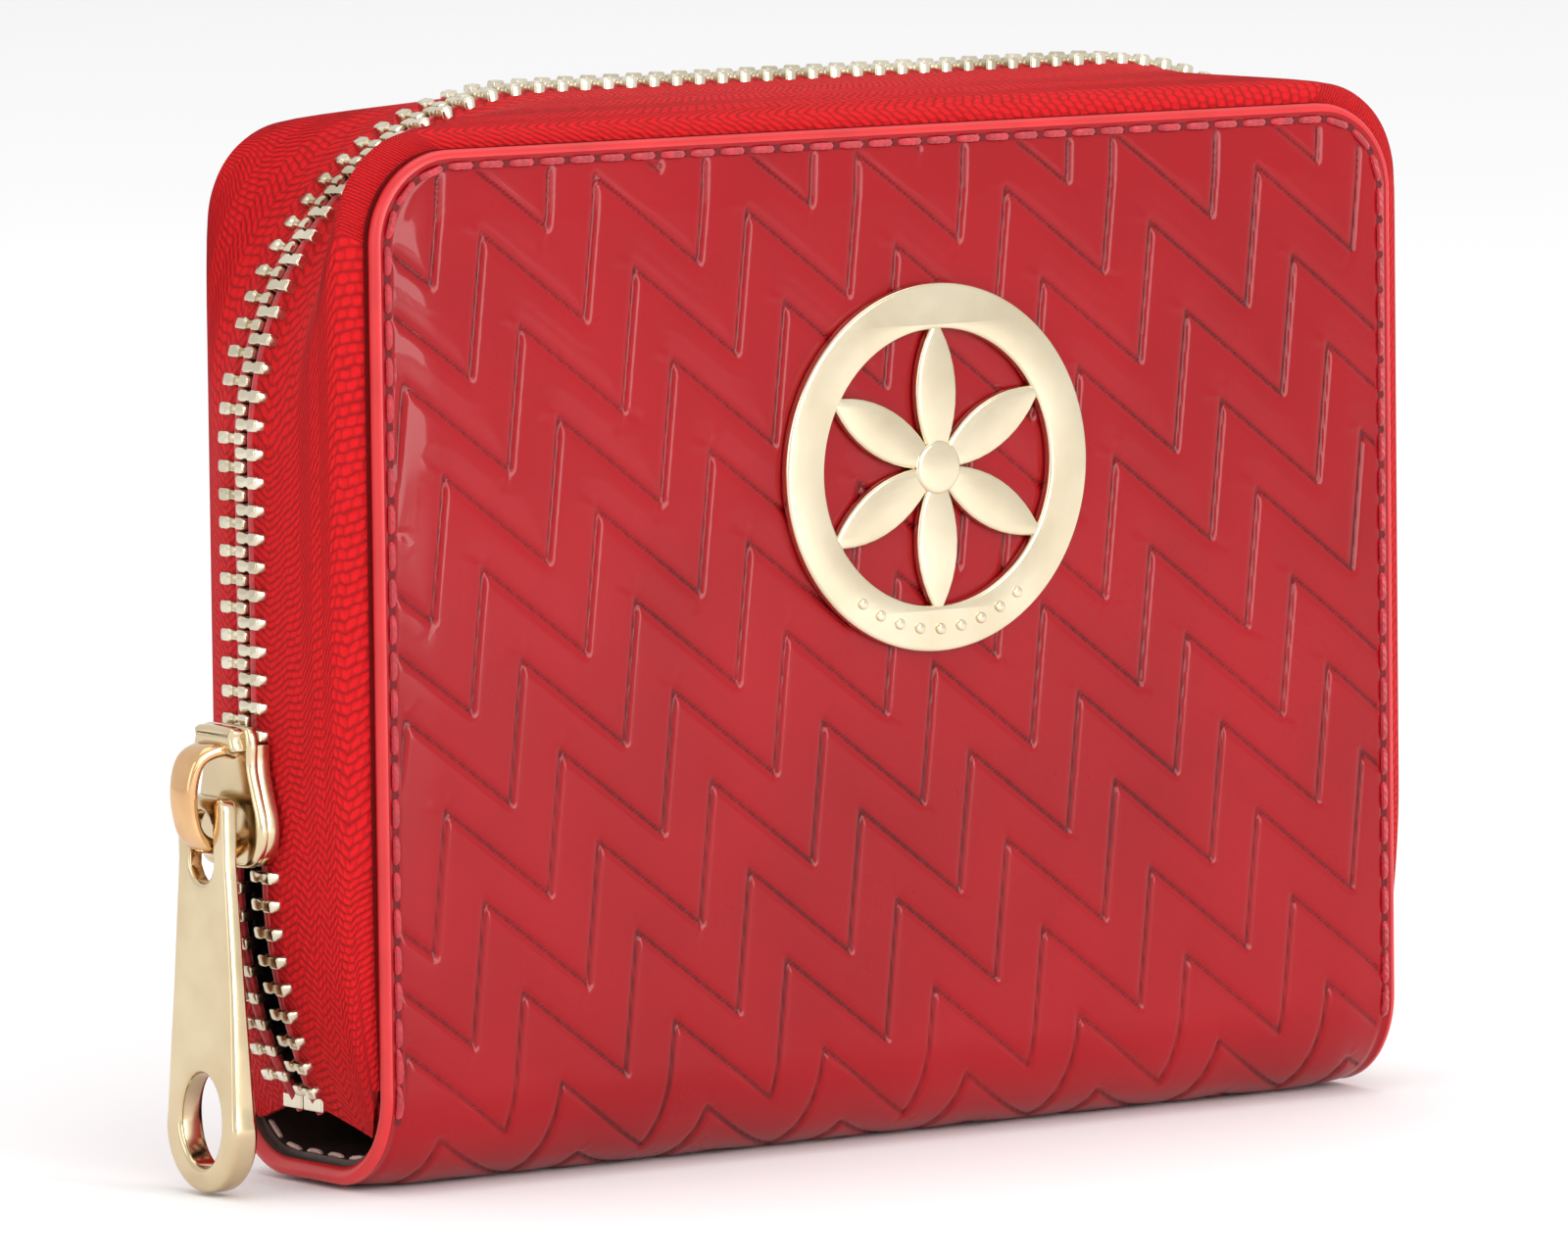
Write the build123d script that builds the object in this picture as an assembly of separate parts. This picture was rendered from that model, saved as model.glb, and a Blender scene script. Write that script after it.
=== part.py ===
from build123d import *
import os
from math import asin, cos, sin, sqrt

# Zip-around wallet, standing on its spine and zipped nearly shut.
# X runs to the right, Y from the front cover to the back cover, Z up.
# The origin is the middle of the spine's underside. Sizes are millimetres.

# ---------- driving sizes ----------
WIDTH = 110.0
HEIGHT = 90.0
DEPTH = 26.0
COVER_T = 2.0             # red cover sheet, folded and painted at its edge
CORNER_R = 8.0            # top corners of the covers
SPINE_R = 9.0             # bend of the cover under the wallet
HINGE_GAP = 0.1           # parting between the front cover and the spine
BOARD_T = 0.6
LINING_T = 0.5
EDGE_R = 0.5              # rounding of the painted edge

HALF_W = WIDTH / 2
HALF_D = DEPTH / 2
INNER_D = HALF_D - COVER_T            # inside face of each cover
LINING_D = INNER_D - BOARD_T          # seam between board and lining
SLOT_D = LINING_D - LINING_T          # inside face of each lining

# ---------- edge stitching ----------
STITCH_INSET = 1.4
STITCH_PITCH = 3.17
STITCH_L = 2.4
STITCH_W = 0.5
STITCH_T = 0.3
GROOVE_W = 0.7
STITCH_LOW = 10.0

# ---------- zip round three sides ----------
BULGE_SIDE = 5.6          # how far the zip stands out past the covers' side edge
BULGE_TOP = 4.2
ZIP_CORNER_R = 30.0       # bend of the chain round the top corners
DIVE_TOP = 28.0           # below this height the zip turns in towards the spine
DIVE_BOTTOM = 6.5
TAPE_T = 0.6
TAPE_FLANGE = 5.6         # tape sewn in behind the cover edge
PITCH = 2.43
TOOTH_W = 1.0             # along the chain
TOOTH_T = 2.2             # through the chain
TOOTH_L = 3.4             # across the chain
TOOTH_LAP = 0.5           # how far a head reaches past the middle when meshed
OPEN_GAP = 0.8            # half of the gap between the parted rows
SEAM_CLEAR = 0.06         # between a tape's edge and teeth that turn away from it
MESH_Z = 37.5             # meshed above this height on the left side
PART_Z = 29.5             # fully parted below this height
CLOSE_Z = 14.0            # the parted rows come together again from here down
END_Z = 8.0

# ---------- slider ----------
SLIDER_LOW = 28.4
SLIDER_HIGH = 40.7
PLATE_T = 1.2
SLIDER_CLEAR = 0.2
CHAIN_X = TAPE_T / 2 - HALF_W - BULGE_SIDE      # middle of the chain on the left side
CHANNEL_T = TOOTH_T / 2 + SLIDER_CLEAR
STRAP_T = 1.3             # bridge that the pull hangs on
STRAP_W = 3.0
STRAP_X = CHAIN_X - 6.7
PULL_X = CHAIN_X - 4.6    # the pull turns about this line, along Y
PULL_Z = 33.7
PULL_BAR_R = 0.8
PULL_LOW = 0.3
PULL_HOLE_Z = 6.6
PULL_EYE_LOW = 27.8
PULL_SIDE = 1.8           # width of each arm beside the eye
PULL_MID = (4.6, 18.0)    # half width and height halfway down
PULL_WIDEST = (5.3, 7.0)
PULL_HOLE = (3.25, 4.1)   # half width and half height of the hole

# ---------- emblem ----------
EMBLEM_X = 3.2
EMBLEM_Z = 59.9
EMBLEM_R = 16.3
EMBLEM_BAND = 4.1
EMBLEM_T = 1.1
EMBLEM_PIN_R = 0.6
EMBLEM_PLATE_T = 0.4
PETALS = 6
PETAL_W = 4.2
BEADS = 9
BEAD_R = 0.45

# ---------- inside ----------
LEAF_T = 0.5
LEAF_GAP = 0.3
LEAF_HALF_W = 46.0
LEAF_LOW = 11.0
LEAF_TOPS = (77.0, 68.0, 59.0)
COIN_D = 2.9              # half thickness of the coin pocket
COIN_PANEL_T = 0.4
COIN_HALF_W = 47.0
COIN_LOW = 8.0
COIN_HIGH = 74.0
COIN_TAPE_T = 0.3
COIN_PITCH = 1.7
COIN_TOOTH_L = 2.0
COIN_LAP = 0.4
COIN_TOOTH_W = 0.7
COIN_TOOTH_T = 1.4
COIN_TAPE_HALF_W = 44.0
COIN_SLIDER_X = -36.0     # middle of the coin slider, at the closed end
COIN_PULL_Z = COIN_HIGH + 2.85
COIN_PULL_L = 12.0
GUSSET_T = 0.4
GUSSET_FOLD = 14.0
GUSSET_OUT = 49.5
GUSSET_LOW = 12.0
GUSSET_HIGH = 78.0


# ---------- helpers ----------
def front_plane(y):
    """Plane seen from the front: local x is X, local y is Z."""
    return Plane(origin=(0, y, 0), x_dir=(1, 0, 0), z_dir=(0, -1, 0))


def slab(sketch, y_low, y_high):
    """Front-view outline given a thickness in Y."""
    return extrude(front_plane(y_high) * sketch, amount=y_high - y_low)


def rail(sketch, x_low, x_high):
    """Side-view outline (local x is Y, local y is Z) run along X."""
    plane = Plane(origin=(x_low, 0, 0), x_dir=(0, 1, 0), z_dir=(1, 0, 0))
    return extrude(plane * sketch, amount=x_high - x_low)


def block(x_low, x_high, y_low, y_high, z_low, z_high):
    size = Box(x_high - x_low, y_high - y_low, z_high - z_low)
    middle = ((x_low + x_high) / 2, (y_low + y_high) / 2, (z_low + z_high) / 2)
    return Pos(*middle) * size


def polygon(*points):
    return make_face(Polyline(*points, close=True))


def panel_outline(half_w, top, radius, bottom):
    """Upright rectangle with round top corners."""
    corner = radius * sqrt(0.5)
    left = (-half_w + radius, top - radius)
    right = (half_w - radius, top - radius)
    edges = [
        Line((-half_w, bottom), (-half_w, left[1])),
        ThreePointArc((-half_w, left[1]), (left[0] - corner, left[1] + corner), (left[0], top)),
        Line((left[0], top), (right[0], top)),
        ThreePointArc((right[0], top), (right[0] + corner, right[1] + corner), (half_w, right[1])),
        Line((half_w, right[1]), (half_w, bottom)),
        Line((half_w, bottom), (-half_w, bottom)),
    ]
    return make_face(edges)


def cover_outline(inset, bottom):
    return panel_outline(HALF_W - inset, HEIGHT - inset, CORNER_R - inset, bottom)


def to_back(shape):
    """The back half mirrors the front half."""
    return mirror(shape, about=Plane.XZ)


def group(pieces):
    """One node made of many separate solids."""
    return Compound([solid for piece in pieces for solid in piece.solids()])


def save(node, shape):
    export_step(shape, f"parts/{node}.step")


# ---------- covers and spine ----------
def plain_cover():
    low = SPINE_R + HINGE_GAP
    cover = slab(cover_outline(0, low), -HALF_D, -INNER_D)
    rim = [edge for edge in cover.edges() if edge.center().Z > low + 1]
    cover = fillet(rim, EDGE_R)
    outer = cover_outline(STITCH_INSET - GROOVE_W / 2, STITCH_LOW)
    inner = cover_outline(STITCH_INSET + GROOVE_W / 2, STITCH_LOW - 1)
    return cover - slab(outer - inner, -HALF_D - 1, -HALF_D + STITCH_T)


def emblem_pin_spots():
    reach = EMBLEM_R - EMBLEM_BAND / 2 - 0.6
    return [(EMBLEM_X - reach, EMBLEM_Z), (EMBLEM_X + reach, EMBLEM_Z)]


def emblem_pin_holes():
    holes = Sketch() + [Pos(x, z) * Circle(EMBLEM_PIN_R + 0.05) for x, z in emblem_pin_spots()]
    return slab(holes, -HALF_D - 1, 0)


def front_cover():
    return plain_cover() - emblem_pin_holes()


def back_cover():
    return to_back(plain_cover())


def cover_stitches():
    """Lock-stitch threads lying in the groove along the cover's edge."""
    low, top = STITCH_LOW, HEIGHT - STITCH_INSET
    half_w, radius = HALF_W - STITCH_INSET, CORNER_R - STITCH_INSET
    corner = radius * sqrt(0.5)
    path = Wire([
        Line((-half_w, low), (-half_w, top - radius)),
        ThreePointArc((-half_w, top - radius),
                      (-half_w + radius - corner, top - radius + corner),
                      (-half_w + radius, top)),
        Line((-half_w + radius, top), (half_w - radius, top)),
        ThreePointArc((half_w - radius, top),
                      (half_w - radius + corner, top - radius + corner),
                      (half_w, top - radius)),
        Line((half_w, top - radius), (half_w, low)),
    ])
    stitches = []
    count = int(path.length / STITCH_PITCH)
    for number in range(count):
        along = (number + 0.5) * path.length / count
        spot = path.position_at(along, position_mode=PositionMode.LENGTH)
        run = path.tangent_at(along, position_mode=PositionMode.LENGTH)
        turn = Vector(1, 0, 0).get_signed_angle(run, Vector(0, 0, 1))
        stitch = Pos(spot.X, spot.Y) * Rot(0, 0, turn) * Rectangle(STITCH_L, STITCH_W)
        stitches.append(slab(stitch, -HALF_D, -HALF_D + STITCH_T))
    return group(stitches)


def spine_section(outset):
    """U-shaped side view of the spine, as a filled shape grown by outset."""
    radius = SPINE_R + outset
    corner = radius * sqrt(0.5)
    mid = HALF_D - SPINE_R
    edges = [
        Line((-mid - radius, SPINE_R), (mid + radius, SPINE_R)),
        ThreePointArc((mid + radius, SPINE_R), (mid + corner, SPINE_R - corner),
                      (mid, SPINE_R - radius)),
        Line((mid, SPINE_R - radius), (-mid, SPINE_R - radius)),
        ThreePointArc((-mid, SPINE_R - radius), (-mid - corner, SPINE_R - corner),
                      (-mid - radius, SPINE_R)),
    ]
    return make_face(edges)


def spine_cover():
    spine = rail(spine_section(0), -HALF_W, HALF_W) - rail(spine_section(-COVER_T), -HALF_W, HALF_W)
    rim = [edge for edge in spine.edges()
           if abs(abs(edge.center().X) - HALF_W) < 0.01 and edge.center().Z < SPINE_R - 0.01]
    return fillet(rim, EDGE_R)


def spine_lining():
    half = HALF_W - 1.5
    outer = rail(spine_section(-COVER_T), -half, half)
    return outer - rail(spine_section(-COVER_T - LINING_T), -half, half)


def plain_board():
    rim = TAPE_FLANGE + 0.6
    board = panel_outline(HALF_W - rim, HEIGHT - rim, CORNER_R / 2, SPINE_R + HINGE_GAP)
    return slab(board, -INNER_D, -LINING_D)


def front_board():
    hole = Pos(EMBLEM_X, EMBLEM_Z) * Circle(EMBLEM_R - 0.6)
    return plain_board() - slab(hole, -HALF_D, 0)


def front_lining():
    return slab(cover_outline(1.5, SPINE_R + HINGE_GAP), -LINING_D, -SLOT_D)


# ---------- zip tapes ----------
def arch(y):
    """Share of the zip's full bulge that the tape has at depth y, an elliptical arch."""
    return sqrt(max(0.0, 1 - (y / INNER_D) ** 2))


def easing(low, high, value):
    """Rises smoothly from 0 at low to 1 at high."""
    part = min(max((value - low) / (high - low), 0.0), 1.0)
    return part * part * (3 - 2 * part)


def zip_edges(share, inset, bottom):
    """Front-view line of the zip at one depth, from the left end over the top to the right."""
    half_w = HALF_W + BULGE_SIDE * share - inset
    top = HEIGHT + BULGE_TOP * share - inset
    radius = CORNER_R + (ZIP_CORNER_R - CORNER_R) * easing(0.35, 0.95, share) - inset
    corner = radius * sqrt(0.5)
    tuck = 0.5 + (BULGE_SIDE - 0.2) * share
    drop = DIVE_TOP - DIVE_BOTTOM
    dive_r = (tuck ** 2 + drop ** 2) / (2 * tuck)
    full = asin((DIVE_TOP - bottom) / dive_r)

    def dive(angle, side):
        return (side * (half_w - dive_r + dive_r * cos(angle)), DIVE_TOP - dive_r * sin(angle))

    return [
        ThreePointArc(dive(full, -1), dive(full / 2, -1), (-half_w, DIVE_TOP)),
        Line((-half_w, DIVE_TOP), (-half_w, top - radius)),
        ThreePointArc((-half_w, top - radius),
                      (-half_w + radius - corner, top - radius + corner),
                      (-half_w + radius, top)),
        Line((-half_w + radius, top), (half_w - radius, top)),
        ThreePointArc((half_w - radius, top),
                      (half_w - radius + corner, top - radius + corner),
                      (half_w, top - radius)),
        Line((half_w, top - radius), (half_w, DIVE_TOP)),
        ThreePointArc((half_w, DIVE_TOP), dive(full / 2, 1), dive(full, 1)),
    ]


def tape_outline(share, inset, bottom):
    edges = zip_edges(share, inset, bottom)
    closing = Line(edges[-1] @ 1, edges[0] @ 0)
    return make_face(edges + [closing])


def pillow(depths, inset, bottom):
    sections = [front_plane(-y) * tape_outline(arch(y), inset, bottom) for y in depths]
    return loft(sections, ruled=True)


def row_shift(x, z):
    """How far a row stands away from its meshed place, by height on the left side."""
    if x > 0 or z >= MESH_Z:
        return 0.0
    parted = TOOTH_LAP + OPEN_GAP
    if z >= PART_Z:
        return parted * (MESH_Z - z) / (MESH_Z - PART_Z)
    if z >= CLOSE_Z:
        return parted
    if z >= END_Z:
        return TOOTH_LAP + 0.1 + (OPEN_GAP - 0.1) * (z - END_Z) / (CLOSE_Z - END_Z)
    return TOOTH_LAP + 0.1


def front_zip_tape():
    """Arched tape from the cover's inside face to the clamped ends of the teeth."""
    edge = TOOTH_L - TOOTH_LAP
    depths = (10.4, 9.5, 8.0, 6.0, 4.0, edge)
    outer = pillow((10.95, 10.8) + depths, 0, DIVE_BOTTOM)
    inner = pillow(depths + (edge - 0.5,), TAPE_T, DIVE_BOTTOM - 1.5)
    window = block(-HALF_W + TAPE_FLANGE, HALF_W - TAPE_FLANGE, -HALF_D, 0,
                   0, HEIGHT - TAPE_FLANGE)
    parting = [(0, MESH_Z)]
    for z in (MESH_Z, PART_Z, CLOSE_Z, END_Z, DIVE_BOTTOM - 1):
        parting.append((-edge - row_shift(-1, z) - SEAM_CLEAR, z))
    parting.append((0, DIVE_BOTTOM - 1))
    slit = rail(polygon(*parting), -HALF_W - 2 * BULGE_SIDE, -HALF_W / 2)
    clear_of_spine = spine_section(2.0) - spine_section(-COVER_T - LINING_T)
    spine = rail(clear_of_spine, -HALF_W - 0.2, HALF_W + 0.2)
    return outer - inner - window - slit - spine


# ---------- zip teeth ----------
def chain_path():
    """Middle line of the chain in the XZ plane, from its left end to its right end."""
    return Wire([front_plane(0) * edge for edge in zip_edges(1.0, TAPE_T / 2, DIVE_BOTTOM)])


def tooth():
    """One tooth: clamp, narrower head, and the nib that locks into the next tooth."""
    half = TOOTH_W / 2
    clamp = Pos(0, -TOOTH_L + 1.0) * Rectangle(TOOTH_W, 2.0)
    head = polygon((-half, -TOOTH_L + 1.9), (half, -TOOTH_L + 1.9), (half, -0.25),
                   (half - 0.2, 0), (0.2 - half, 0), (-half, -0.25))
    body = extrude(clamp, amount=TOOTH_T / 2, both=True)
    body += extrude(head, amount=TOOTH_T / 2 - 0.3, both=True)
    nib = Pos(half + 0.06, -0.6, 0) * Rot(0, 90, 0) * Cylinder(0.35, 0.12)
    return body + nib


def teeth_row(side):
    """All the teeth of one tape. side is -1 for the front row and 1 for the back row."""
    path = chain_path()
    first = 3.2 + (PITCH / 4 if side > 0 else -PITCH / 4)
    count = int((path.length - 2 * 3.2) / PITCH)
    one = tooth()
    if side > 0:
        one = mirror(one, about=Plane.XZ)
    row = []
    for number in range(count):
        along = first + number * PITCH
        spot = path.position_at(along, position_mode=PositionMode.LENGTH)
        run = path.tangent_at(along, position_mode=PositionMode.LENGTH)
        outward = Vector(0, 1, 0).cross(run) * -1
        tip = TOOTH_LAP - row_shift(spot.X, spot.Z)
        seat = Plane(origin=spot + Vector(0, -side * tip, 0), x_dir=run, z_dir=outward)
        row.append(seat.location * one)
    return group(row)


def end_stops(side, y_low, y_high):
    """Small metal blocks that end the chain. side is -1 on the left, 1 on the right."""
    low = DIVE_BOTTOM + 0.1
    end = chain_path() @ (0 if side < 0 else 1)
    stop = block(end.X - 1, end.X + 1, y_low, y_high, low, low + 1.6)
    return fillet(stop.edges(), 0.2)


# ---------- slider and pull ----------
def slider_outline(grow):
    """Pear shape of the slider: narrow at the meshed end, wide where the rows part."""
    half = [(0, SLIDER_HIGH), (3.7 + grow, SLIDER_HIGH), (3.7 + grow, 37.0), (5.0 + grow, 32.5),
            (5.0 + grow, 30.8), (3.3 + grow, SLIDER_LOW), (0, SLIDER_LOW)]
    other = [(-y, z) for y, z in reversed(half[1:-1])]
    outline = polygon(*half, *other)
    bends = [corner for corner in outline.vertices() if abs(corner.X) > 4]
    return fillet(bends, 0.8)


def slider_channel():
    """Space between the flanges that the two rows of teeth run through."""
    narrow, wide = TOOTH_L - TOOTH_LAP + SLIDER_CLEAR, TOOTH_L + OPEN_GAP + SLIDER_CLEAR
    high, low = SLIDER_HIGH + 1, SLIDER_LOW - 1
    return polygon((-narrow, high), (narrow, high), (narrow, MESH_Z), (wide, 31.0), (wide, low),
                   (-wide, low), (-wide, 31.0), (-narrow, MESH_Z))


def zip_slider_body():
    """Outer plate with flanges, inner plate, and the post that parts the rows."""
    outer_face = CHAIN_X - CHANNEL_T
    outer = rail(slider_outline(0), outer_face - PLATE_T, outer_face)
    outer = fillet(outer.faces().sort_by(Axis.X)[0].edges(), 0.4)
    inner = rail(slider_outline(-0.3), CHAIN_X + CHANNEL_T, CHAIN_X + CHANNEL_T + PLATE_T - 0.2)
    flanges = rail(slider_outline(0) - slider_channel(), outer_face, outer_face + 0.7)
    post = polygon((0, 33.2), (0.55, 30.0), (0.55, SLIDER_LOW + 0.3),
                   (-0.55, SLIDER_LOW + 0.3), (-0.55, 30.0))
    return outer + inner + flanges + rail(post, outer_face, CHAIN_X + CHANNEL_T)


def zip_slider_lock_cap():
    """Cap over the locking spring at the narrow end of the slider."""
    plate = CHAIN_X - CHANNEL_T - PLATE_T
    cap = block(plate - 1.4, plate, -2.5, 2.5, SLIDER_HIGH - 2.2, SLIDER_HIGH - 0.1)
    return fillet(cap.faces().sort_by(Axis.X)[0].edges(), 0.4)


def strap(points, bend, thickness, width, foot_x=None, foot_z=None):
    """Flat strap following a path in the XZ plane, cut off at the plate it stands on."""
    path = FilletPolyline(*points, radius=bend)
    body = slab(trace(path, line_width=thickness), -width / 2, width / 2)
    if foot_x is not None:
        body -= block(foot_x, foot_x + 10, -width, width, 0, HEIGHT)
    if foot_z is not None:
        body -= block(-HALF_W, HALF_W, -width, width, foot_z - 10, foot_z)
    return body


def zip_slider_bridge():
    plate = CHAIN_X - CHANNEL_T - PLATE_T
    points = [(plate + 1, 37.6), (STRAP_X, 37.6), (STRAP_X, 33.0), (STRAP_X + 2.8, 29.6),
              (plate + 1, 29.6)]
    return strap(points, 1.6, STRAP_T, STRAP_W, foot_x=plate)


def zip_pull():
    """Thick plate hung on the bridge by a round bar, flaring to a ring at the bottom."""
    eye_half = STRAP_W / 2 + 0.35
    bar_half = eye_half + PULL_SIDE
    mid, wide = PULL_MID, PULL_WIDEST
    front = make_face([
        Line((-bar_half, PULL_Z + 1), (bar_half, PULL_Z + 1)),
        Line((bar_half, PULL_Z + 1), (bar_half, 29.0)),
        ThreePointArc((bar_half, 29.0), mid, wide),
        ThreePointArc(wide, (0, PULL_LOW), (-wide[0], wide[1])),
        ThreePointArc((-wide[0], wide[1]), (-mid[0], mid[1]), (-bar_half, 29.0)),
        Line((-bar_half, 29.0), (-bar_half, PULL_Z + 1)),
    ])
    eye_low, eye_high = PULL_EYE_LOW, PULL_Z - PULL_BAR_R
    eye = Pos(0, (eye_low + eye_high) / 2) * RectangleRounded(2 * eye_half, eye_high - eye_low, 1.2)
    ring = Pos(0, PULL_HOLE_Z) * Ellipse(*PULL_HOLE)
    half = [(PULL_BAR_R, PULL_Z), (0.75, 27.0), (0.85, 18.0), (1.3, 6.0), (1.25, 0)]
    side = polygon(*[(PULL_X + x, z) for x, z in half],
                   *[(PULL_X - x, z) for x, z in reversed(half)])
    side += Pos(PULL_X, PULL_Z) * Circle(PULL_BAR_R)
    plate = rail(front - eye - ring, PULL_X - 3, PULL_X + 3)
    return plate & slab(side, -HALF_D, HALF_D)


# ---------- emblem ----------
def petal(angle):
    """Leaf shape from the middle to the ring, where two large circles cross."""
    length = EMBLEM_R - EMBLEM_BAND + 0.8
    radius = (length ** 2 + PETAL_W ** 2) / (4 * PETAL_W)
    offset = radius - PETAL_W / 2
    leaf = (Pos(length / 2, offset) * Circle(radius)) & (Pos(length / 2, -offset) * Circle(radius))
    return Rot(0, 0, angle) * leaf


def emblem():
    """Openwork disc with a six-petal rosette, a row of beads and two fixing pins."""
    face = Circle(EMBLEM_R) - Circle(EMBLEM_R - EMBLEM_BAND) + Circle(2.2)
    for number in range(PETALS):
        face += petal(30 + number * 360 / PETALS)
    at_emblem = Pos(EMBLEM_X, EMBLEM_Z)
    disc = slab(at_emblem * face, -HALF_D - EMBLEM_T, -HALF_D)
    rim = disc.faces().sort_by(Axis.Y)[0].outer_wire().edges()
    disc = chamfer(rim, 0.35)
    for number in range(BEADS):
        angle = -90 + (number - BEADS // 2) * 9
        bead = at_emblem * Rot(0, 0, angle) * Pos(EMBLEM_R - EMBLEM_BAND / 2, 0) * Circle(BEAD_R)
        disc += slab(bead, -HALF_D - EMBLEM_T - 0.2, -HALF_D - EMBLEM_T)
    for x, z in emblem_pin_spots():
        disc += slab(Pos(x, z) * Circle(EMBLEM_PIN_R), -HALF_D, -INNER_D + EMBLEM_PLATE_T + 0.1)
    return disc


def emblem_backing_plate():
    ring = Pos(EMBLEM_X, EMBLEM_Z) * (Circle(EMBLEM_R - 0.8) - Circle(EMBLEM_R - EMBLEM_BAND - 1))
    return slab(ring, -INNER_D, -INNER_D + EMBLEM_PLATE_T) - emblem_pin_holes()


# ---------- card slots ----------
def card_leaf(number):
    """One card slot: a leaf with a raised seam on its sides and bottom, against the one behind."""
    back = -SLOT_D + number * (LEAF_T + LEAF_GAP)
    outline = panel_outline(LEAF_HALF_W, LEAF_TOPS[number], 3.0, LEAF_LOW)
    seam = outline - panel_outline(LEAF_HALF_W - 1.5, HEIGHT, 3.0, LEAF_LOW + 1.5)
    return slab(seam, back, back + LEAF_GAP) + slab(outline, back + LEAF_GAP, back + LEAF_GAP + LEAF_T)


# ---------- coin pocket ----------
def coin_panel():
    return slab(panel_outline(COIN_HALF_W, COIN_HIGH, 2.0, COIN_LOW), -COIN_D, COIN_PANEL_T - COIN_D)


def coin_pocket_edge():
    """Strip closing the coin pocket's sides and bottom, with the tab sewn to the spine."""
    half_d = COIN_D - COIN_PANEL_T
    ring = panel_outline(COIN_HALF_W, COIN_HIGH - 1, 2.0, COIN_LOW)
    ring -= panel_outline(COIN_HALF_W - 1, HEIGHT, 2.0, COIN_LOW + 1)
    tab_low = COVER_T + LINING_T + 0.8
    tab = block(-COIN_HALF_W + 2, COIN_HALF_W - 2, -0.6, 0.6, tab_low, COIN_LOW)
    return slab(ring, -half_d, half_d) + tab


def coin_zip_tape():
    """Folded strip: sewn down inside the panel and turned in towards the coin zip."""
    wall = COIN_PANEL_T - COIN_D
    chain_edge = COIN_LAP - COIN_TOOTH_L
    section = polygon((wall, COIN_HIGH - 8), (wall + COIN_TAPE_T, COIN_HIGH - 8),
                      (wall + COIN_TAPE_T, COIN_HIGH), (chain_edge, COIN_HIGH),
                      (chain_edge, COIN_HIGH + COIN_TAPE_T), (wall, COIN_HIGH + COIN_TAPE_T))
    return rail(section, -COIN_TAPE_HALF_W, COIN_TAPE_HALF_W)


def coin_teeth_row(side):
    """Teeth of one side of the coin zip, from the slider to the far end."""
    half = COIN_TOOTH_W / 2
    shape = polygon((-half, COIN_LAP - COIN_TOOTH_L), (half, COIN_LAP - COIN_TOOTH_L),
                    (half, COIN_LAP - 0.2), (half - 0.15, COIN_LAP),
                    (0.15 - half, COIN_LAP), (-half, COIN_LAP - 0.2))
    one = extrude(shape, amount=COIN_TOOTH_T / 2, both=True)
    if side > 0:
        one = Rot(0, 0, 180) * one
    first = COIN_SLIDER_X + 1.0 + (COIN_PITCH / 2 if side > 0 else 0)
    count = int((COIN_TAPE_HALF_W - 3 - first) / COIN_PITCH)
    z = COIN_HIGH + COIN_TAPE_T / 2
    return group([Pos(first + number * COIN_PITCH, 0, z) * one for number in range(count)])


def coin_zip_stops():
    """Small blocks at both ends of the coin zip."""
    z = COIN_HIGH + COIN_TAPE_T / 2
    return group([block(x - 0.8, x + 0.8, -1.5, 1.5, z - 0.7, z + 0.7)
                  for x in (-COIN_TAPE_HALF_W + 1.5, COIN_TAPE_HALF_W - 1.2)])


def coin_slider_body():
    x, z = COIN_SLIDER_X, COIN_HIGH + COIN_TAPE_T / 2
    gap = COIN_TOOTH_T / 2 + SLIDER_CLEAR

    def plan(half_w):
        """Top view: wide at the open end on the left, narrow at the meshed end."""
        return polygon((x + 4, -half_w + 0.4), (x + 4, half_w - 0.4), (x, half_w), (x - 3, half_w),
                       (x - 4, half_w - 1), (x - 4, 1 - half_w), (x - 3, -half_w), (x, -half_w))

    lower = Pos(0, 0, z - gap - 0.7) * extrude(plan(1.95), amount=0.7)
    upper = Pos(0, 0, z + gap) * extrude(plan(2.5), amount=0.7)
    channel = polygon((x + 5, -1.75), (x + 5, 1.75), (x - 5, 1.95), (x - 5, -1.95))
    flanges = Pos(0, 0, z + 0.35) * extrude(plan(2.5) - channel, amount=gap - 0.35)
    post = polygon((x - 0.8, 0), (x - 2.4, 0.4), (x - 3.6, 0.4), (x - 3.6, -0.4), (x - 2.4, -0.4))
    return lower + upper + flanges + Pos(0, 0, z - gap) * extrude(post, amount=2 * gap)


def coin_slider_bridge():
    x = COIN_SLIDER_X
    plate = COIN_HIGH + COIN_TAPE_T / 2 + COIN_TOOTH_T / 2 + SLIDER_CLEAR + 0.7
    top = COIN_PULL_Z + 1.0
    points = [(x - 3, plate - 1), (x - 3, top), (x + 3, top), (x + 3, plate - 1)]
    return strap(points, 1.0, 0.7, 1.6, foot_z=plate)


def coin_pull():
    """Flat tab lying along the coin zip, hung on its bridge by a round bar."""
    x, far = COIN_SLIDER_X, COIN_SLIDER_X + COIN_PULL_L
    half_w, bar_r = 2.1, 0.5
    outline = Pos((x - 1 + far) / 2, 0) * RectangleRounded(far - x + 1, 2 * half_w, 1.0)
    eye = Pos(x + bar_r + 2, 0) * RectangleRounded(4, 2.2, 0.5)
    hole = Pos(far - 2.2, 0) * Circle(1.1)
    plan = Pos(0, 0, COIN_PULL_Z - 1) * extrude(outline - eye - hole, amount=2)
    side = polygon((x, COIN_PULL_Z - bar_r), (far + 1, COIN_PULL_Z - 0.4),
                   (far + 1, COIN_PULL_Z + 0.4), (x, COIN_PULL_Z + bar_r))
    side += Pos(x, COIN_PULL_Z) * Circle(bar_r)
    return plan & slab(side, -COIN_D, COIN_D)


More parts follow.
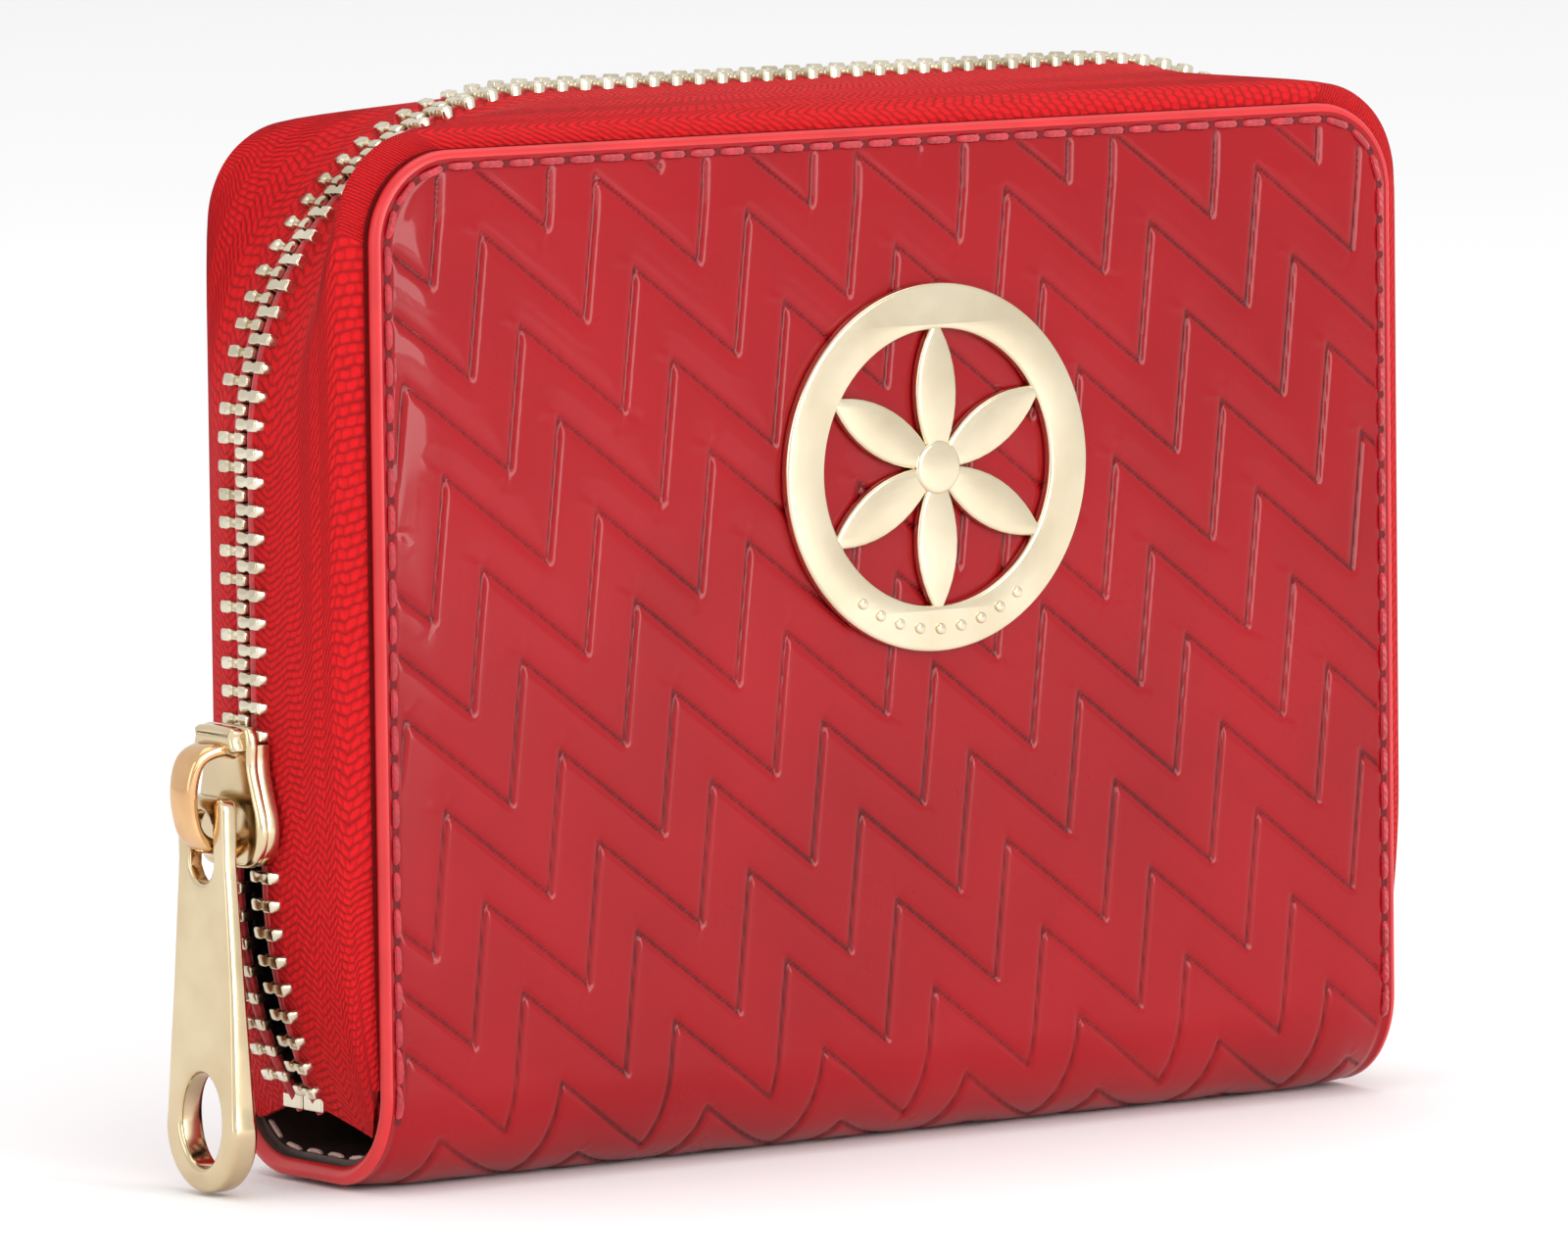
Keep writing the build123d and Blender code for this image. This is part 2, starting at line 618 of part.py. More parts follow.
# ---------- side gussets ----------
def gusset(side):
    """Pleat between the front card slots and the coin pocket, folded inwards and open outwards."""
    low_y = -SLOT_D + len(LEAF_TOPS) * (LEAF_T + LEAF_GAP) + 0.05
    high_y = -COIN_D - 0.05

    def fold(z):
        return GUSSET_OUT - GUSSET_FOLD * (z - GUSSET_LOW) / (GUSSET_HIGH - GUSSET_LOW)

    outer = polygon((side * GUSSET_OUT, GUSSET_LOW), (side * GUSSET_OUT, GUSSET_HIGH),
                    (side * fold(GUSSET_HIGH), GUSSET_HIGH))
    low, high = GUSSET_LOW - 1, GUSSET_HIGH + 1
    hollow = polygon((side * HALF_W, low), (side * HALF_W, high),
                     (side * (fold(high) + GUSSET_T), high), (side * (fold(low) + GUSSET_T), low))
    return slab(outer, low_y, high_y) - slab(hollow, low_y + GUSSET_T, high_y - GUSSET_T)


# ---------- write every node ----------
def main():
    os.makedirs("parts", exist_ok=True)

    save("front_cover", front_cover())
    save("back_cover", back_cover())
    save("spine_cover", spine_cover())
    save("spine_lining", spine_lining())

    stitches = cover_stitches()
    save("front_cover_stitching", stitches)
    save("back_cover_stitching", to_back(stitches))
    save("front_board", front_board())
    save("back_board", to_back(plain_board()))
    lining = front_lining()
    save("front_lining", lining)
    save("back_lining", to_back(lining))

    tape = front_zip_tape()
    save("front_zip_tape", tape)
    save("back_zip_tape", to_back(tape))
    save("front_zip_teeth", teeth_row(-1))
    save("back_zip_teeth", teeth_row(1))
    stop_in, stop_out = 0.1, TOOTH_L - 0.3
    save("front_zip_end_stop", end_stops(-1, -stop_out, -stop_in))
    save("back_zip_end_stop", end_stops(-1, stop_in, stop_out))
    save("zip_retaining_box", end_stops(1, -stop_out + 0.4, stop_out - 0.4))

    save("zip_slider_body", zip_slider_body())
    save("zip_slider_bridge", zip_slider_bridge())
    save("zip_slider_lock_cap", zip_slider_lock_cap())
    save("zip_pull", zip_pull())

    save("emblem", emblem())
    save("emblem_backing_plate", emblem_backing_plate())

    for number, name in enumerate(("upper", "middle", "lower")):
        leaf = card_leaf(number)
        save(f"front_card_slot_{name}", leaf)
        save(f"back_card_slot_{name}", to_back(leaf))

    panel = coin_panel()
    save("coin_pocket_front_panel", panel)
    save("coin_pocket_back_panel", to_back(panel))
    save("coin_pocket_edge_strip", coin_pocket_edge())
    coin_tape = coin_zip_tape()
    save("coin_zip_front_tape", coin_tape)
    save("coin_zip_back_tape", to_back(coin_tape))
    save("coin_zip_front_teeth", coin_teeth_row(-1))
    save("coin_zip_back_teeth", coin_teeth_row(1))
    save("coin_zip_stops", coin_zip_stops())
    save("coin_slider_body", coin_slider_body())
    save("coin_slider_bridge", coin_slider_bridge())
    save("coin_pull", coin_pull())

    for side, name in ((-1, "left"), (1, "right")):
        pleat = gusset(side)
        save(f"{name}_front_gusset", pleat)
        save(f"{name}_back_gusset", to_back(pleat))


main()
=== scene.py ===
import bmesh
import bpy
import numpy as np
from math import acos, cos, hypot, pi, radians, sin, sqrt
from mathutils import Matrix, Vector


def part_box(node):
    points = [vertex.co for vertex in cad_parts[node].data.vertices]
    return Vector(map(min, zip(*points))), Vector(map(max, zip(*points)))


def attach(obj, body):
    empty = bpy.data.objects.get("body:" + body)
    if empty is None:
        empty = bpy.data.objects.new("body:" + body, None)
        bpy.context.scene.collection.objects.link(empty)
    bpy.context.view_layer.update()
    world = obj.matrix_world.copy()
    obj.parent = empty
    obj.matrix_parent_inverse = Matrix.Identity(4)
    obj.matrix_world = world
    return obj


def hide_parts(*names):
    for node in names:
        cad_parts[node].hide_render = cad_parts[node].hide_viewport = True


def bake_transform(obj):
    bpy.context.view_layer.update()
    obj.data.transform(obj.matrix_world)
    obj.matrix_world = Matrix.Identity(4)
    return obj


# Zip-around wallet on its spine, zipped nearly shut. X right, Y to the back, Z up.
# Helpers work in millimetres and every mesh is written in metres.

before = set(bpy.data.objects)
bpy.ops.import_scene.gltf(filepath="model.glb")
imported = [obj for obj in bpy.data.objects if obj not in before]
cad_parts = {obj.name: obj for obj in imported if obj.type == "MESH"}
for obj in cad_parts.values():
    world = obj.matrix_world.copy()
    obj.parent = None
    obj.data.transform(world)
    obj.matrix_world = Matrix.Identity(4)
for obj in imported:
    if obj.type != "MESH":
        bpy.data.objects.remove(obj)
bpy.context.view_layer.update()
MM = 0.001


def box_mm(node):
    """Lowest and highest corner of a CAD node, in millimetres."""
    low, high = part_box(node)
    return np.array(low) / MM, np.array(high) / MM


# ---------- sizes from the frame ----------
COVER_LOW, COVER_HIGH = box_mm("front_cover")
TAPE_LOW, TAPE_HIGH = box_mm("front_zip_tape")
HALF_W = COVER_HIGH[0]
HEIGHT = COVER_HIGH[2]
HALF_D = -COVER_LOW[1]
COVER_T = COVER_HIGH[1] - COVER_LOW[1]
SPINE_R = box_mm("spine_cover")[1][2]
BULGE_SIDE = -TAPE_LOW[0] - HALF_W
BULGE_TOP = TAPE_HIGH[2] - HEIGHT
TAPE_BOTTOM = TAPE_LOW[2]

# ---------- sizes of the cover's surface ----------
CORNER_R = 8.0
LINING_T = 0.5
EDGE_R = 0.7              # rounding of the painted edge
EDGE_PRESS = 0.4          # how far the padded face is pressed down along its edge
PRESS_W = 6.5
STITCH_INSET = 1.4
STITCH_PITCH = 3.17
STITCH_L = 2.7
THREAD_R = 0.3
HOLE_R = 0.42             # needle hole between two stitches
GROOVE_DEPTH = 0.22
GROOVE_W = 0.34
SEAM_LOW = 15.6           # where the seam starts, measured along the cover from under the spine
ZIGZAG_RUN = np.array([12.0, 4.4])      # from one low point of a zigzag line to the next
ZIGZAG_RISE = np.array([1.4, 12.4])     # steep stroke, from a low point to a high point
ZIGZAG_ROW = np.array([3.9, -8.15])     # from one line to the line below it
ZIGZAG_START = np.array([-41.9, 42.5])
ZIGZAG_DEPTH = 0.16
ZIGZAG_SHOULDER = 0.12
ZIGZAG_W = 0.3
FADE_ABOVE = 1.1          # the shoulder runs out slowly above a line and steeply below it
FADE_BELOW = 0.25

# ---------- sizes of the zip ----------
TAPE_T = 0.6
DIVE_TOP = 28.0
ZIP_CORNER_R = 30.0
PITCH = 2.43
TOOTH_L = 3.4
CLAMP_L = 1.9             # how far the teeth grip over the tape's edge
TOOTH_LAP = 0.5
OPEN_GAP = 0.8
CHAIN_START = 3.2         # length of tape before the first tooth
CORD_R = 0.5
MESH_Z, PART_Z, CLOSE_Z, END_Z = 37.5, 29.5, 14.0, 8.0
CHAIN_X = TAPE_T / 2 - HALF_W - BULGE_SIDE


# ---------- mesh helpers ----------
def new_object(name, points, faces, materials, indices=None, sharp=35):
    mesh = bpy.data.meshes.new(name)
    mesh.from_pydata([tuple(np.asarray(p, float) * MM) for p in points], [], faces)
    for material in materials:
        mesh.materials.append(material)
    mesh.polygons.foreach_set("use_smooth", [True] * len(mesh.polygons))
    if indices is not None:
        mesh.polygons.foreach_set("material_index", indices)
    mesh.update()
    mesh.set_sharp_from_angle(angle=radians(sharp))
    obj = bpy.data.objects.new(name, mesh)
    bpy.context.collection.objects.link(obj)
    return obj


class Build:
    """Points and faces of one mesh, gathered piece by piece."""

    def __init__(self):
        self.points = []
        self.faces = []
        self.slots = []

    def add(self, points, faces, slot=0):
        base = len(self.points)
        self.points.extend(np.asarray(p, float) for p in points)
        self.faces.extend(tuple(base + i for i in face) for face in faces)
        self.slots.extend([slot] * len(faces))

    def tube(self, rings, slot=0):
        """Closed rings joined one to the next, with a face over each end."""
        count = len(rings[0])
        points = [point for ring in rings for point in ring]
        faces = []
        for r in range(len(rings) - 1):
            for i in range(count):
                j = (i + 1) % count
                faces.append((r * count + i, r * count + j, (r + 1) * count + j, (r + 1) * count + i))
        faces.append(tuple(reversed(range(count))))
        faces.append(tuple((len(rings) - 1) * count + i for i in range(count)))
        self.add(points, faces, slot)

    def mirrored(self):
        """The same pieces on the other side of the XZ plane."""
        other = Build()
        other.points = [p * np.array([1, -1, 1]) for p in self.points]
        other.faces = [tuple(reversed(face)) for face in self.faces]
        other.slots = list(self.slots)
        return other

    def make(self, name, materials, sharp=35):
        return new_object(name, self.points, self.faces, materials, self.slots, sharp)


def arc_points(centre, radius, start, end, count):
    """Points on a circle, angles in degrees."""
    angles = np.radians(np.linspace(start, end, count))
    return [(centre[0] + radius * cos(a), centre[1] + radius * sin(a)) for a in angles]


def plate(outlines, thickness, bevel, place, smooth_steps=4):
    """Points and faces of a flat plate with rounded rims. The first outline is the outside,
    the others are holes. place turns a local (x, y, z) into a point of the object."""
    curve = bpy.data.curves.new("plate", "CURVE")
    curve.dimensions = "2D"
    curve.fill_mode = "BOTH"
    curve.extrude = (thickness / 2 - bevel) * MM
    curve.bevel_depth = bevel * MM
    curve.bevel_resolution = smooth_steps
    curve.offset = -bevel * MM
    for outline in outlines:
        spline = curve.splines.new("POLY")
        spline.points.add(len(outline) - 1)
        for point, (x, y) in zip(spline.points, outline):
            point.co = (x * MM, y * MM, 0, 1)
        spline.use_cyclic_u = True
    holder = bpy.data.objects.new("plate", curve)
    bpy.context.collection.objects.link(holder)
    mesh = bpy.data.meshes.new_from_object(holder.evaluated_get(bpy.context.evaluated_depsgraph_get()))
    points = [place(v.co.x / MM, v.co.y / MM, v.co.z / MM) for v in mesh.vertices]
    faces = [tuple(p.vertices) for p in mesh.polygons]
    bpy.data.objects.remove(holder)
    return points, faces


def merge_close(obj, distance=0.004):
    """Join points that lie on each other and turn every face outwards."""
    bm = bmesh.new()
    bm.from_mesh(obj.data)
    bmesh.ops.remove_doubles(bm, verts=bm.verts, dist=distance * MM)
    bmesh.ops.recalc_face_normals(bm, faces=bm.faces)
    bm.to_mesh(obj.data)
    bm.free()


def store_weave(obj, values):
    """Millimetres along and across the cloth at every point, for the weave."""
    attribute = obj.data.attributes.new("weave", "FLOAT_VECTOR", "POINT")
    attribute.data.foreach_set("vector", np.asarray(values, float).ravel())


# ---------- material helpers ----------
class Nodes:
    """A material's node tree with short calls for the nodes used here."""

    def __init__(self, name):
        self.material = bpy.data.materials.new(name)
        self.material.use_nodes = True
        self.tree = self.material.node_tree
        self.shader = self.tree.nodes["Principled BSDF"]

    def node(self, kind, **settings):
        node = self.tree.nodes.new(kind)
        for key, value in settings.items():
            setattr(node, key, value)
        return node

    def feed(self, socket, value):
        if isinstance(value, bpy.types.NodeSocket):
            self.tree.links.new(value, socket)
        else:
            socket.default_value = value

    def math(self, operation, a, b=0.0):
        node = self.node("ShaderNodeMath", operation=operation)
        self.feed(node.inputs[0], a)
        self.feed(node.inputs[1], b)
        return node.outputs[0]

    def place(self):
        return self.node("ShaderNodeTexCoord").outputs["Object"]

    def noise(self, scale, detail=3.0, roughness=0.5):
        node = self.node("ShaderNodeTexNoise")
        self.feed(node.inputs["Vector"], self.place())
        self.feed(node.inputs["Scale"], scale)
        self.feed(node.inputs["Detail"], detail)
        self.feed(node.inputs["Roughness"], roughness)
        return node.outputs["Fac"]

    def cells(self, scale, feature="F1"):
        node = self.node("ShaderNodeTexVoronoi", feature=feature)
        self.feed(node.inputs["Vector"], self.place())
        self.feed(node.inputs["Scale"], scale)
        return node.outputs["Distance"]

    def ramp(self, value, stops):
        node = self.node("ShaderNodeValToRGB")
        self.feed(node.inputs["Fac"], value)
        elements = node.color_ramp.elements
        while len(elements) < len(stops):
            elements.new(0.5)
        for element, (position, colour) in zip(elements, stops):
            element.position = position
            element.color = (*colour, 1)
        return node.outputs["Color"]

    def spread(self, value, low, high):
        node = self.node("ShaderNodeMapRange")
        self.feed(node.inputs["Value"], value)
        self.feed(node.inputs["To Min"], low)
        self.feed(node.inputs["To Max"], high)
        return node.outputs["Result"]

    def bump(self, height, strength, distance, under=None):
        node = self.node("ShaderNodeBump")
        self.feed(node.inputs["Height"], height)
        self.feed(node.inputs["Strength"], strength)
        self.feed(node.inputs["Distance"], distance * MM)
        if under is not None:
            self.feed(node.inputs["Normal"], under)
        return node.outputs["Normal"]

    def finish(self, **inputs):
        for name, value in inputs.items():
            self.feed(self.shader.inputs[name.replace("_", " ")], value)
        return self.material


def srgb(red, green, blue):
    """Linear colour of a display colour given from 0 to 255."""
    return tuple((v / 255 / 12.92) if v <= 10 else ((v / 255 + 0.055) / 1.055) ** 2.4
                 for v in (red, green, blue))


# ---------- materials ----------
def patent_leather():
    """Glossy lacquer over red leather, mottled, with fine pits, and with painted shade darkening the
    colour along the pressed lines.
    """
    m = Nodes("patent_leather")
    line = m.node("ShaderNodeAttribute", attribute_name="line").outputs["Fac"]
    crease = m.math("SUBTRACT", 1.0, m.math("MINIMUM", m.math("DIVIDE", line, ZIGZAG_W), 1.0))
    # painted shade: the colour is darkened along the pressed lines, on top of the random mottle
    mottle_and_painted_crease_shade = m.math("SUBTRACT", m.noise(45.0, 4.0), m.math("MULTIPLY", crease, 0.6))
    colour = m.ramp(mottle_and_painted_crease_shade, [(0.0, srgb(98, 3, 9)), (0.3, srgb(138, 5, 15)), (0.7, srgb(152, 9, 20))])
    fine = m.noise(900.0, 2.0)
    wave = m.noise(110.0, 2.0)
    normal = m.bump(fine, 0.1, 0.03)
    normal = m.bump(wave, 0.2, 0.12, normal)
    normal = m.bump(m.math("MULTIPLY", crease, -1.0), 1.0, 0.2, normal)
    rough = m.spread(m.noise(60.0, 5.0, 0.65), 0.22, 0.36)
    return m.finish(Base_Color=colour, Roughness=rough, Normal=normal, Specular_IOR_Level=0.1,
                    Coat_Weight=0.36, Coat_Roughness=0.05, Coat_IOR=1.5)


def edge_paint():
    """Thick satin paint on the cut edge of the covers, a little uneven."""
    m = Nodes("edge_paint")
    colour = m.ramp(m.noise(160.0, 4.0), [(0.3, srgb(186, 16, 22)), (0.7, srgb(204, 28, 32))])
    normal = m.bump(m.noise(420.0, 4.0), 0.35, 0.06)
    return m.finish(Base_Color=colour, Roughness=m.spread(m.noise(300.0), 0.34, 0.5),
                    Normal=normal, Coat_Weight=0.2, Coat_Roughness=0.2)


def herringbone(name, dark, light, column, thread):
    """Twill tape whose ribs change direction from one column to the next, with painted shade darkening the
    colour in the hollows between ribs and yarns.
    """
    m = Nodes(name)
    cloth = m.node("ShaderNodeAttribute", attribute_name="weave").outputs["Vector"]
    split = m.node("ShaderNodeSeparateXYZ")
    m.feed(split.inputs[0], cloth)
    along, across = split.outputs["X"], split.outputs["Y"]
    sway = m.spread(m.noise(900.0, 3.0), -0.32, 0.32)
    strip = m.math("DIVIDE", across, column)
    side = m.math("PINGPONG", strip, 1.0)
    slanted = m.math("ADD", along, m.math("MULTIPLY", side, column * 0.55))
    ribs = m.math("ADD", m.math("DIVIDE", slanted, thread), sway)
    rib_height = m.math("SINE", m.math("MULTIPLY", m.math("FRACT", ribs), pi))
    shift = m.math("MULTIPLY", m.math("FLOOR", ribs), 0.37)
    yarns = m.math("ADD", m.math("DIVIDE", across, thread * 1.25), shift)
    yarn_height = m.math("SINE", m.math("MULTIPLY", m.math("FRACT", yarns), pi))
    yarn_share = 0.72
    yarn_height = m.math("ADD", m.math("MULTIPLY", yarn_height, yarn_share), 1 - yarn_share)
    height = m.math("MULTIPLY", rib_height, yarn_height)
    cell = m.node("ShaderNodeCombineXYZ")
    m.feed(cell.inputs["X"], m.math("FLOOR", ribs))
    m.feed(cell.inputs["Y"], m.math("FLOOR", yarns))
    chance = m.node("ShaderNodeTexWhiteNoise", noise_dimensions="2D")
    m.feed(chance.inputs["Vector"], cell.outputs[0])
    fuzz = m.noise(2600.0, 3.0)
    normal = m.bump(fuzz, 0.3, 0.05)
    normal = m.bump(height, 1.0, 0.16, normal)
    # painted shade: colour follows the weave height, darker in the hollows, times a random tone per yarn
    # cell
    painted_rib_shade_and_tone = m.math("MULTIPLY", height, m.spread(chance.outputs["Value"], 0.8, 1.25))
    colour = m.ramp(painted_rib_shade_and_tone, [(0.02, dark), (0.6, light)])
    return m.finish(Base_Color=colour, Roughness=0.8, Normal=normal, Specular_IOR_Level=0.25)


def thread_material(name, colour):
    """Glossy twisted sewing thread."""
    m = Nodes(name)
    tone = m.ramp(m.noise(900.0, 2.0), [(0.3, tuple(c * 0.6 for c in colour)), (0.7, colour)])
    wave = m.node("ShaderNodeTexWave", bands_direction="DIAGONAL")
    m.feed(wave.inputs["Vector"], m.place())
    m.feed(wave.inputs["Scale"], 900.0)
    normal = m.bump(wave.outputs["Fac"], 0.5, 0.06)
    return m.finish(Base_Color=tone, Roughness=0.38, Normal=normal, Sheen_Weight=0.3)


def painted_hole_shade():
    """Painted shade for the needle holes: a dark red that stands in for the shadow inside them."""
    m = Nodes("needle_hole_shade")
    colour = m.ramp(m.noise(800.0), [(0.2, srgb(84, 8, 14)), (0.8, srgb(118, 14, 20))])
    return m.finish(Base_Color=colour, Roughness=0.9)


def plated_metal(name, dark, light, rough_low, rough_high, wear):
    """Polished plated metal with small dents and slight changes of tone."""
    m = Nodes(name)
    colour = m.ramp(m.noise(130.0, 4.0), [(0.3, dark), (0.72, light)])
    rough = m.spread(m.noise(420.0, 5.0, 0.7), rough_low, rough_high)
    normal = m.bump(m.noise(260.0, 3.0), wear, 0.05)
    normal = m.bump(m.noise(1500.0, 2.0), wear * 0.6, 0.02, normal)
    return m.finish(Base_Color=colour, Metallic=1.0, Roughness=rough, Normal=normal)


def grained_leather(name, dark, light, gloss):
    """Leather or coated cloth with a fine pebble grain."""
    m = Nodes(name)
    grain = m.cells(1100.0)
    crease = m.cells(420.0, "DISTANCE_TO_EDGE")
    normal = m.bump(crease, 0.3, 0.08)
    normal = m.bump(grain, 0.4, 0.06, normal)
    colour = m.ramp(m.noise(220.0, 5.0, 0.6), [(0.3, dark), (0.7, light)])
    return m.finish(Base_Color=colour, Roughness=m.spread(grain, gloss, gloss + 0.2), Normal=normal,
                    Coat_Weight=0.15, Coat_Roughness=0.3)


PATENT = patent_leather()
EDGE = edge_paint()
TAPE_CLOTH = herringbone("zip_tape_twill", srgb(146, 3, 9), srgb(198, 9, 17), 2.1, 0.8)
CORD_CLOTH = thread_material("tape_cord", srgb(196, 22, 32))
RED_THREAD = thread_material("red_thread", srgb(186, 22, 38))
CREAM_THREAD = thread_material("cream_thread", srgb(206, 160, 150))
BROWN_THREAD = thread_material("brown_thread", srgb(96, 66, 54))
PIT = painted_hole_shade()
# One gold plating in two copies: the emblem's copy is lighter as painted light for its brightly lit front
# face, and the pale gold is darker as painted shade for the dimmer reflection on the pull and slider.
PALE_GOLD = plated_metal("pale_gold", srgb(200, 178, 142), srgb(218, 200, 166), 0.12, 0.2, 0.08)
EMBLEM_GOLD_LIT = plated_metal("emblem_gold_lit", srgb(212, 196, 166), srgb(230, 217, 190), 0.14, 0.24, 0.08)
ROSE_GOLD = plated_metal("rose_gold", srgb(206, 158, 112), srgb(236, 198, 150), 0.06, 0.12, 0.06)
TOOTH_METAL = plated_metal("tooth_metal", srgb(190, 178, 152), srgb(232, 224, 204), 0.14, 0.26, 0.15)
STEEL = plated_metal("plain_steel", srgb(150, 150, 150), srgb(190, 190, 188), 0.25, 0.4, 0.2)
LINING = grained_leather("brown_lining", srgb(48, 33, 30), srgb(78, 56, 48), 0.42)
POCKET = grained_leather("brown_leather", srgb(46, 28, 24), srgb(82, 54, 44), 0.38)
BOARD = grained_leather("stiffener_board", srgb(150, 140, 120), srgb(182, 172, 150), 0.7)


# ---------- the cover as a surface ----------
# A place on the cover is (x, s): s runs along the section from the middle of the underside,
# round the spine's bend and up to the top edge.
FLAT_UNDER = HALF_D - SPINE_R
BEND_LENGTH = SPINE_R * pi / 2
FACE_START = FLAT_UNDER + BEND_LENGTH
COVER_LENGTH = FACE_START + HEIGHT - SPINE_R


def smoothstep(low, high, value):
    t = np.clip((value - low) / (high - low), 0.0, 1.0)
    return t * t * (3 - 2 * t)


def cover_section(s):
    """Depth, height and outward direction of the cover's outside at s."""
    if s <= FLAT_UNDER:
        return -s, 0.0, 0.0, -1.0
    if s <= FACE_START:
        turn = (s - FLAT_UNDER) / SPINE_R
        return (-FLAT_UNDER - SPINE_R * sin(turn), SPINE_R - SPINE_R * cos(turn),
                -sin(turn), -cos(turn))
    return -HALF_D, SPINE_R + s - FACE_START, -1.0, 0.0


def cover_point(x, s, depth):
    """A point that lies depth under the front cover's outside."""
    y, z, out_y, out_z = cover_section(s)
    return (x, y - out_y * depth, z - out_z * depth)


def edge_distance(x, s):
    """How far each cover place is from the cover's outline."""
    over_x = np.abs(x) - (HALF_W - CORNER_R)
    over_s = s - (COVER_LENGTH - CORNER_R)
    corner = CORNER_R - np.hypot(np.maximum(over_x, 0), np.maximum(over_s, 0))
    straight = np.minimum(HALF_W - np.abs(x), COVER_LENGTH - s)
    return np.where((over_x > 0) & (over_s > 0), corner, straight)


def segment_distance(x, s, start, step):
    """Distance of each place to the line that runs step from start, negative below it. start
    may differ from place to place."""
    dx, ds = x - start[0], s - start[1]
    share = np.clip((dx * step[0] + ds * step[1]) / (step @ step), 0, 1)
    side = np.where(step[0] * ds - step[1] * dx < 0, -1.0, 1.0)
    return side * np.hypot(dx - share * step[0], ds - share * step[1])


def zigzag_distance(x, s):
    """Distance of each place to the nearest pressed zigzag line, negative below the line."""
    grid = np.array([ZIGZAG_RUN, ZIGZAG_ROW]).T
    cell = np.linalg.inv(grid) @ np.array([x - ZIGZAG_START[0], s - ZIGZAG_START[1]]).reshape(2, -1)
    run, row = np.floor(cell).reshape(2, *x.shape)
    best = np.full(x.shape, 99.0)
    for more_run in range(-2, 3):
        for more_row in range(-2, 4):
            low = [ZIGZAG_START[axis] + (run + more_run) * ZIGZAG_RUN[axis]
                   + (row + more_row) * ZIGZAG_ROW[axis] for axis in (0, 1)]
            high = [low[0] + ZIGZAG_RISE[0], low[1] + ZIGZAG_RISE[1]]
            for start, step in ((low, ZIGZAG_RISE), (high, ZIGZAG_RUN - ZIGZAG_RISE)):
                near = segment_distance(x, s, start, step)
                best = np.where(np.abs(near) < np.abs(best), near, best)
    return best


def press_depth(x, s):
    """How far the padded face sinks towards its edge."""
    return EDGE_PRESS * (1 - smoothstep(EDGE_R, PRESS_W, edge_distance(x, s)))


def surface_depth(x, s):
    """Depth of the front cover's face: pressed edge, seam groove and zigzag lines."""
    edge = edge_distance(x, s)
    groove = GROOVE_DEPTH * np.exp(-((edge - STITCH_INSET) / GROOVE_W) ** 2)
    inside = smoothstep(STITCH_INSET + 0.1, STITCH_INSET + 1.0, edge)
    line = zigzag_distance(x, s)
    shoulder = np.where(line > 0, np.exp(-line / FADE_ABOVE), np.exp(line / FADE_BELOW))
    zigzag = ZIGZAG_DEPTH * np.exp(-(line / ZIGZAG_W) ** 2) + ZIGZAG_SHOULDER * shoulder
    return press_depth(x, s) + groove + inside * zigzag


def cover_skin():
    """Closed shell of the front cover with its half of the spine, and each point's distance to
    the nearest pressed line. The inside is a coarser grid than the face."""
    across, up, up_corner = 400, 340, 28
    rows = up + up_corner
    spread = np.linspace(-1, 1, across + 1)
    corner_turn = radians(90) * (1 - (1 - np.linspace(0, 1, up_corner + 1)) ** 0.7)
    corner_s = COVER_LENGTH - CORNER_R

    def place(i, j, inset):
        """Cover place of grid point (i, j) with the outline moved in by inset."""
        if j <= up:
            return spread[i] * (HALF_W - inset), corner_s * j / up
        turn = corner_turn[j - up]
        reach = CORNER_R - inset
        return spread[i] * (HALF_W - CORNER_R + reach * cos(turn)), corner_s + reach * sin(turn)

    shell = Build()
    places = np.array([place(i, j, EDGE_R) for j in range(rows + 1) for i in range(across + 1)])
    depths = surface_depth(places[:, 0], places[:, 1])
    face_points = [cover_point(x, s, depth) for (x, s), depth in zip(places, depths)]
    line = across + 1
    face_quads = [(j * line + i, (j + 1) * line + i, (j + 1) * line + i + 1, j * line + i + 1)
                  for j in range(rows) for i in range(across)]
    rim = [(0, j) for j in range(rows + 1)] + [(i, rows) for i in range(1, across + 1)]
    rim += [(across, j) for j in range(rows - 1, -1, -1)]

    points = face_points
    faces = face_quads
    slots = [0] * len(face_quads)
    rings = [[j * line + i for i, j in rim]]
    steps = [(EDGE_R * (1 - sin(a)), EDGE_PRESS + EDGE_R * (1 - cos(a))) for a in np.radians((30, 60, 90))]
    steps.append((0.0, COVER_T - EDGE_R))
    for inset, depth in steps:
        ring = list(range(len(points), len(points) + len(rim)))
        points += [cover_point(*place(i, j, inset), depth) for i, j in rim]
        previous = rings[-1]
        for k in range(len(rim) - 1):
            faces.append((previous[k], ring[k], ring[k + 1], previous[k + 1]))
            slots.append(1)
        rings.append(ring)

    coarse = 4
    inner = {}
    for j in range(0, rows + 1, coarse):
        for i in range(0, across + 1, coarse):
            inner[i, j] = len(points)
            points.append(cover_point(*place(i, j, EDGE_R), COVER_T))
    for j in range(0, rows, coarse):
        for i in range(0, across, coarse):
            far_i, far_j = i + coarse, j + coarse
            faces.append((inner[i, j], inner[far_i, j], inner[far_i, far_j], inner[i, far_j]))
            slots.append(2)
    outer_ring = rings[-1]
    for k in range(0, len(rim) - 1, coarse):
        faces.append((*outer_ring[k:k + coarse + 1], inner[rim[k + coarse]], inner[rim[k]])[::-1])
        slots.append(1)
    left = [ring[0] for ring in rings[1:]]
    right = [ring[-1] for ring in rings[1:]]
    under = list(range(line)) + right + [inner[i, 0] for i in range(across, -1, -coarse)] + left[::-1]
    faces.append(tuple(under))
    slots.append(2)
    shell.add(points, faces)
    shell.slots = slots
    lines = np.full(len(points), 9.0)
    clear = edge_distance(*places.T) > STITCH_INSET + 0.5
    lines[:len(places)] = np.where(clear, np.abs(zigzag_distance(*places.T)), 9.0)
    return shell, lines


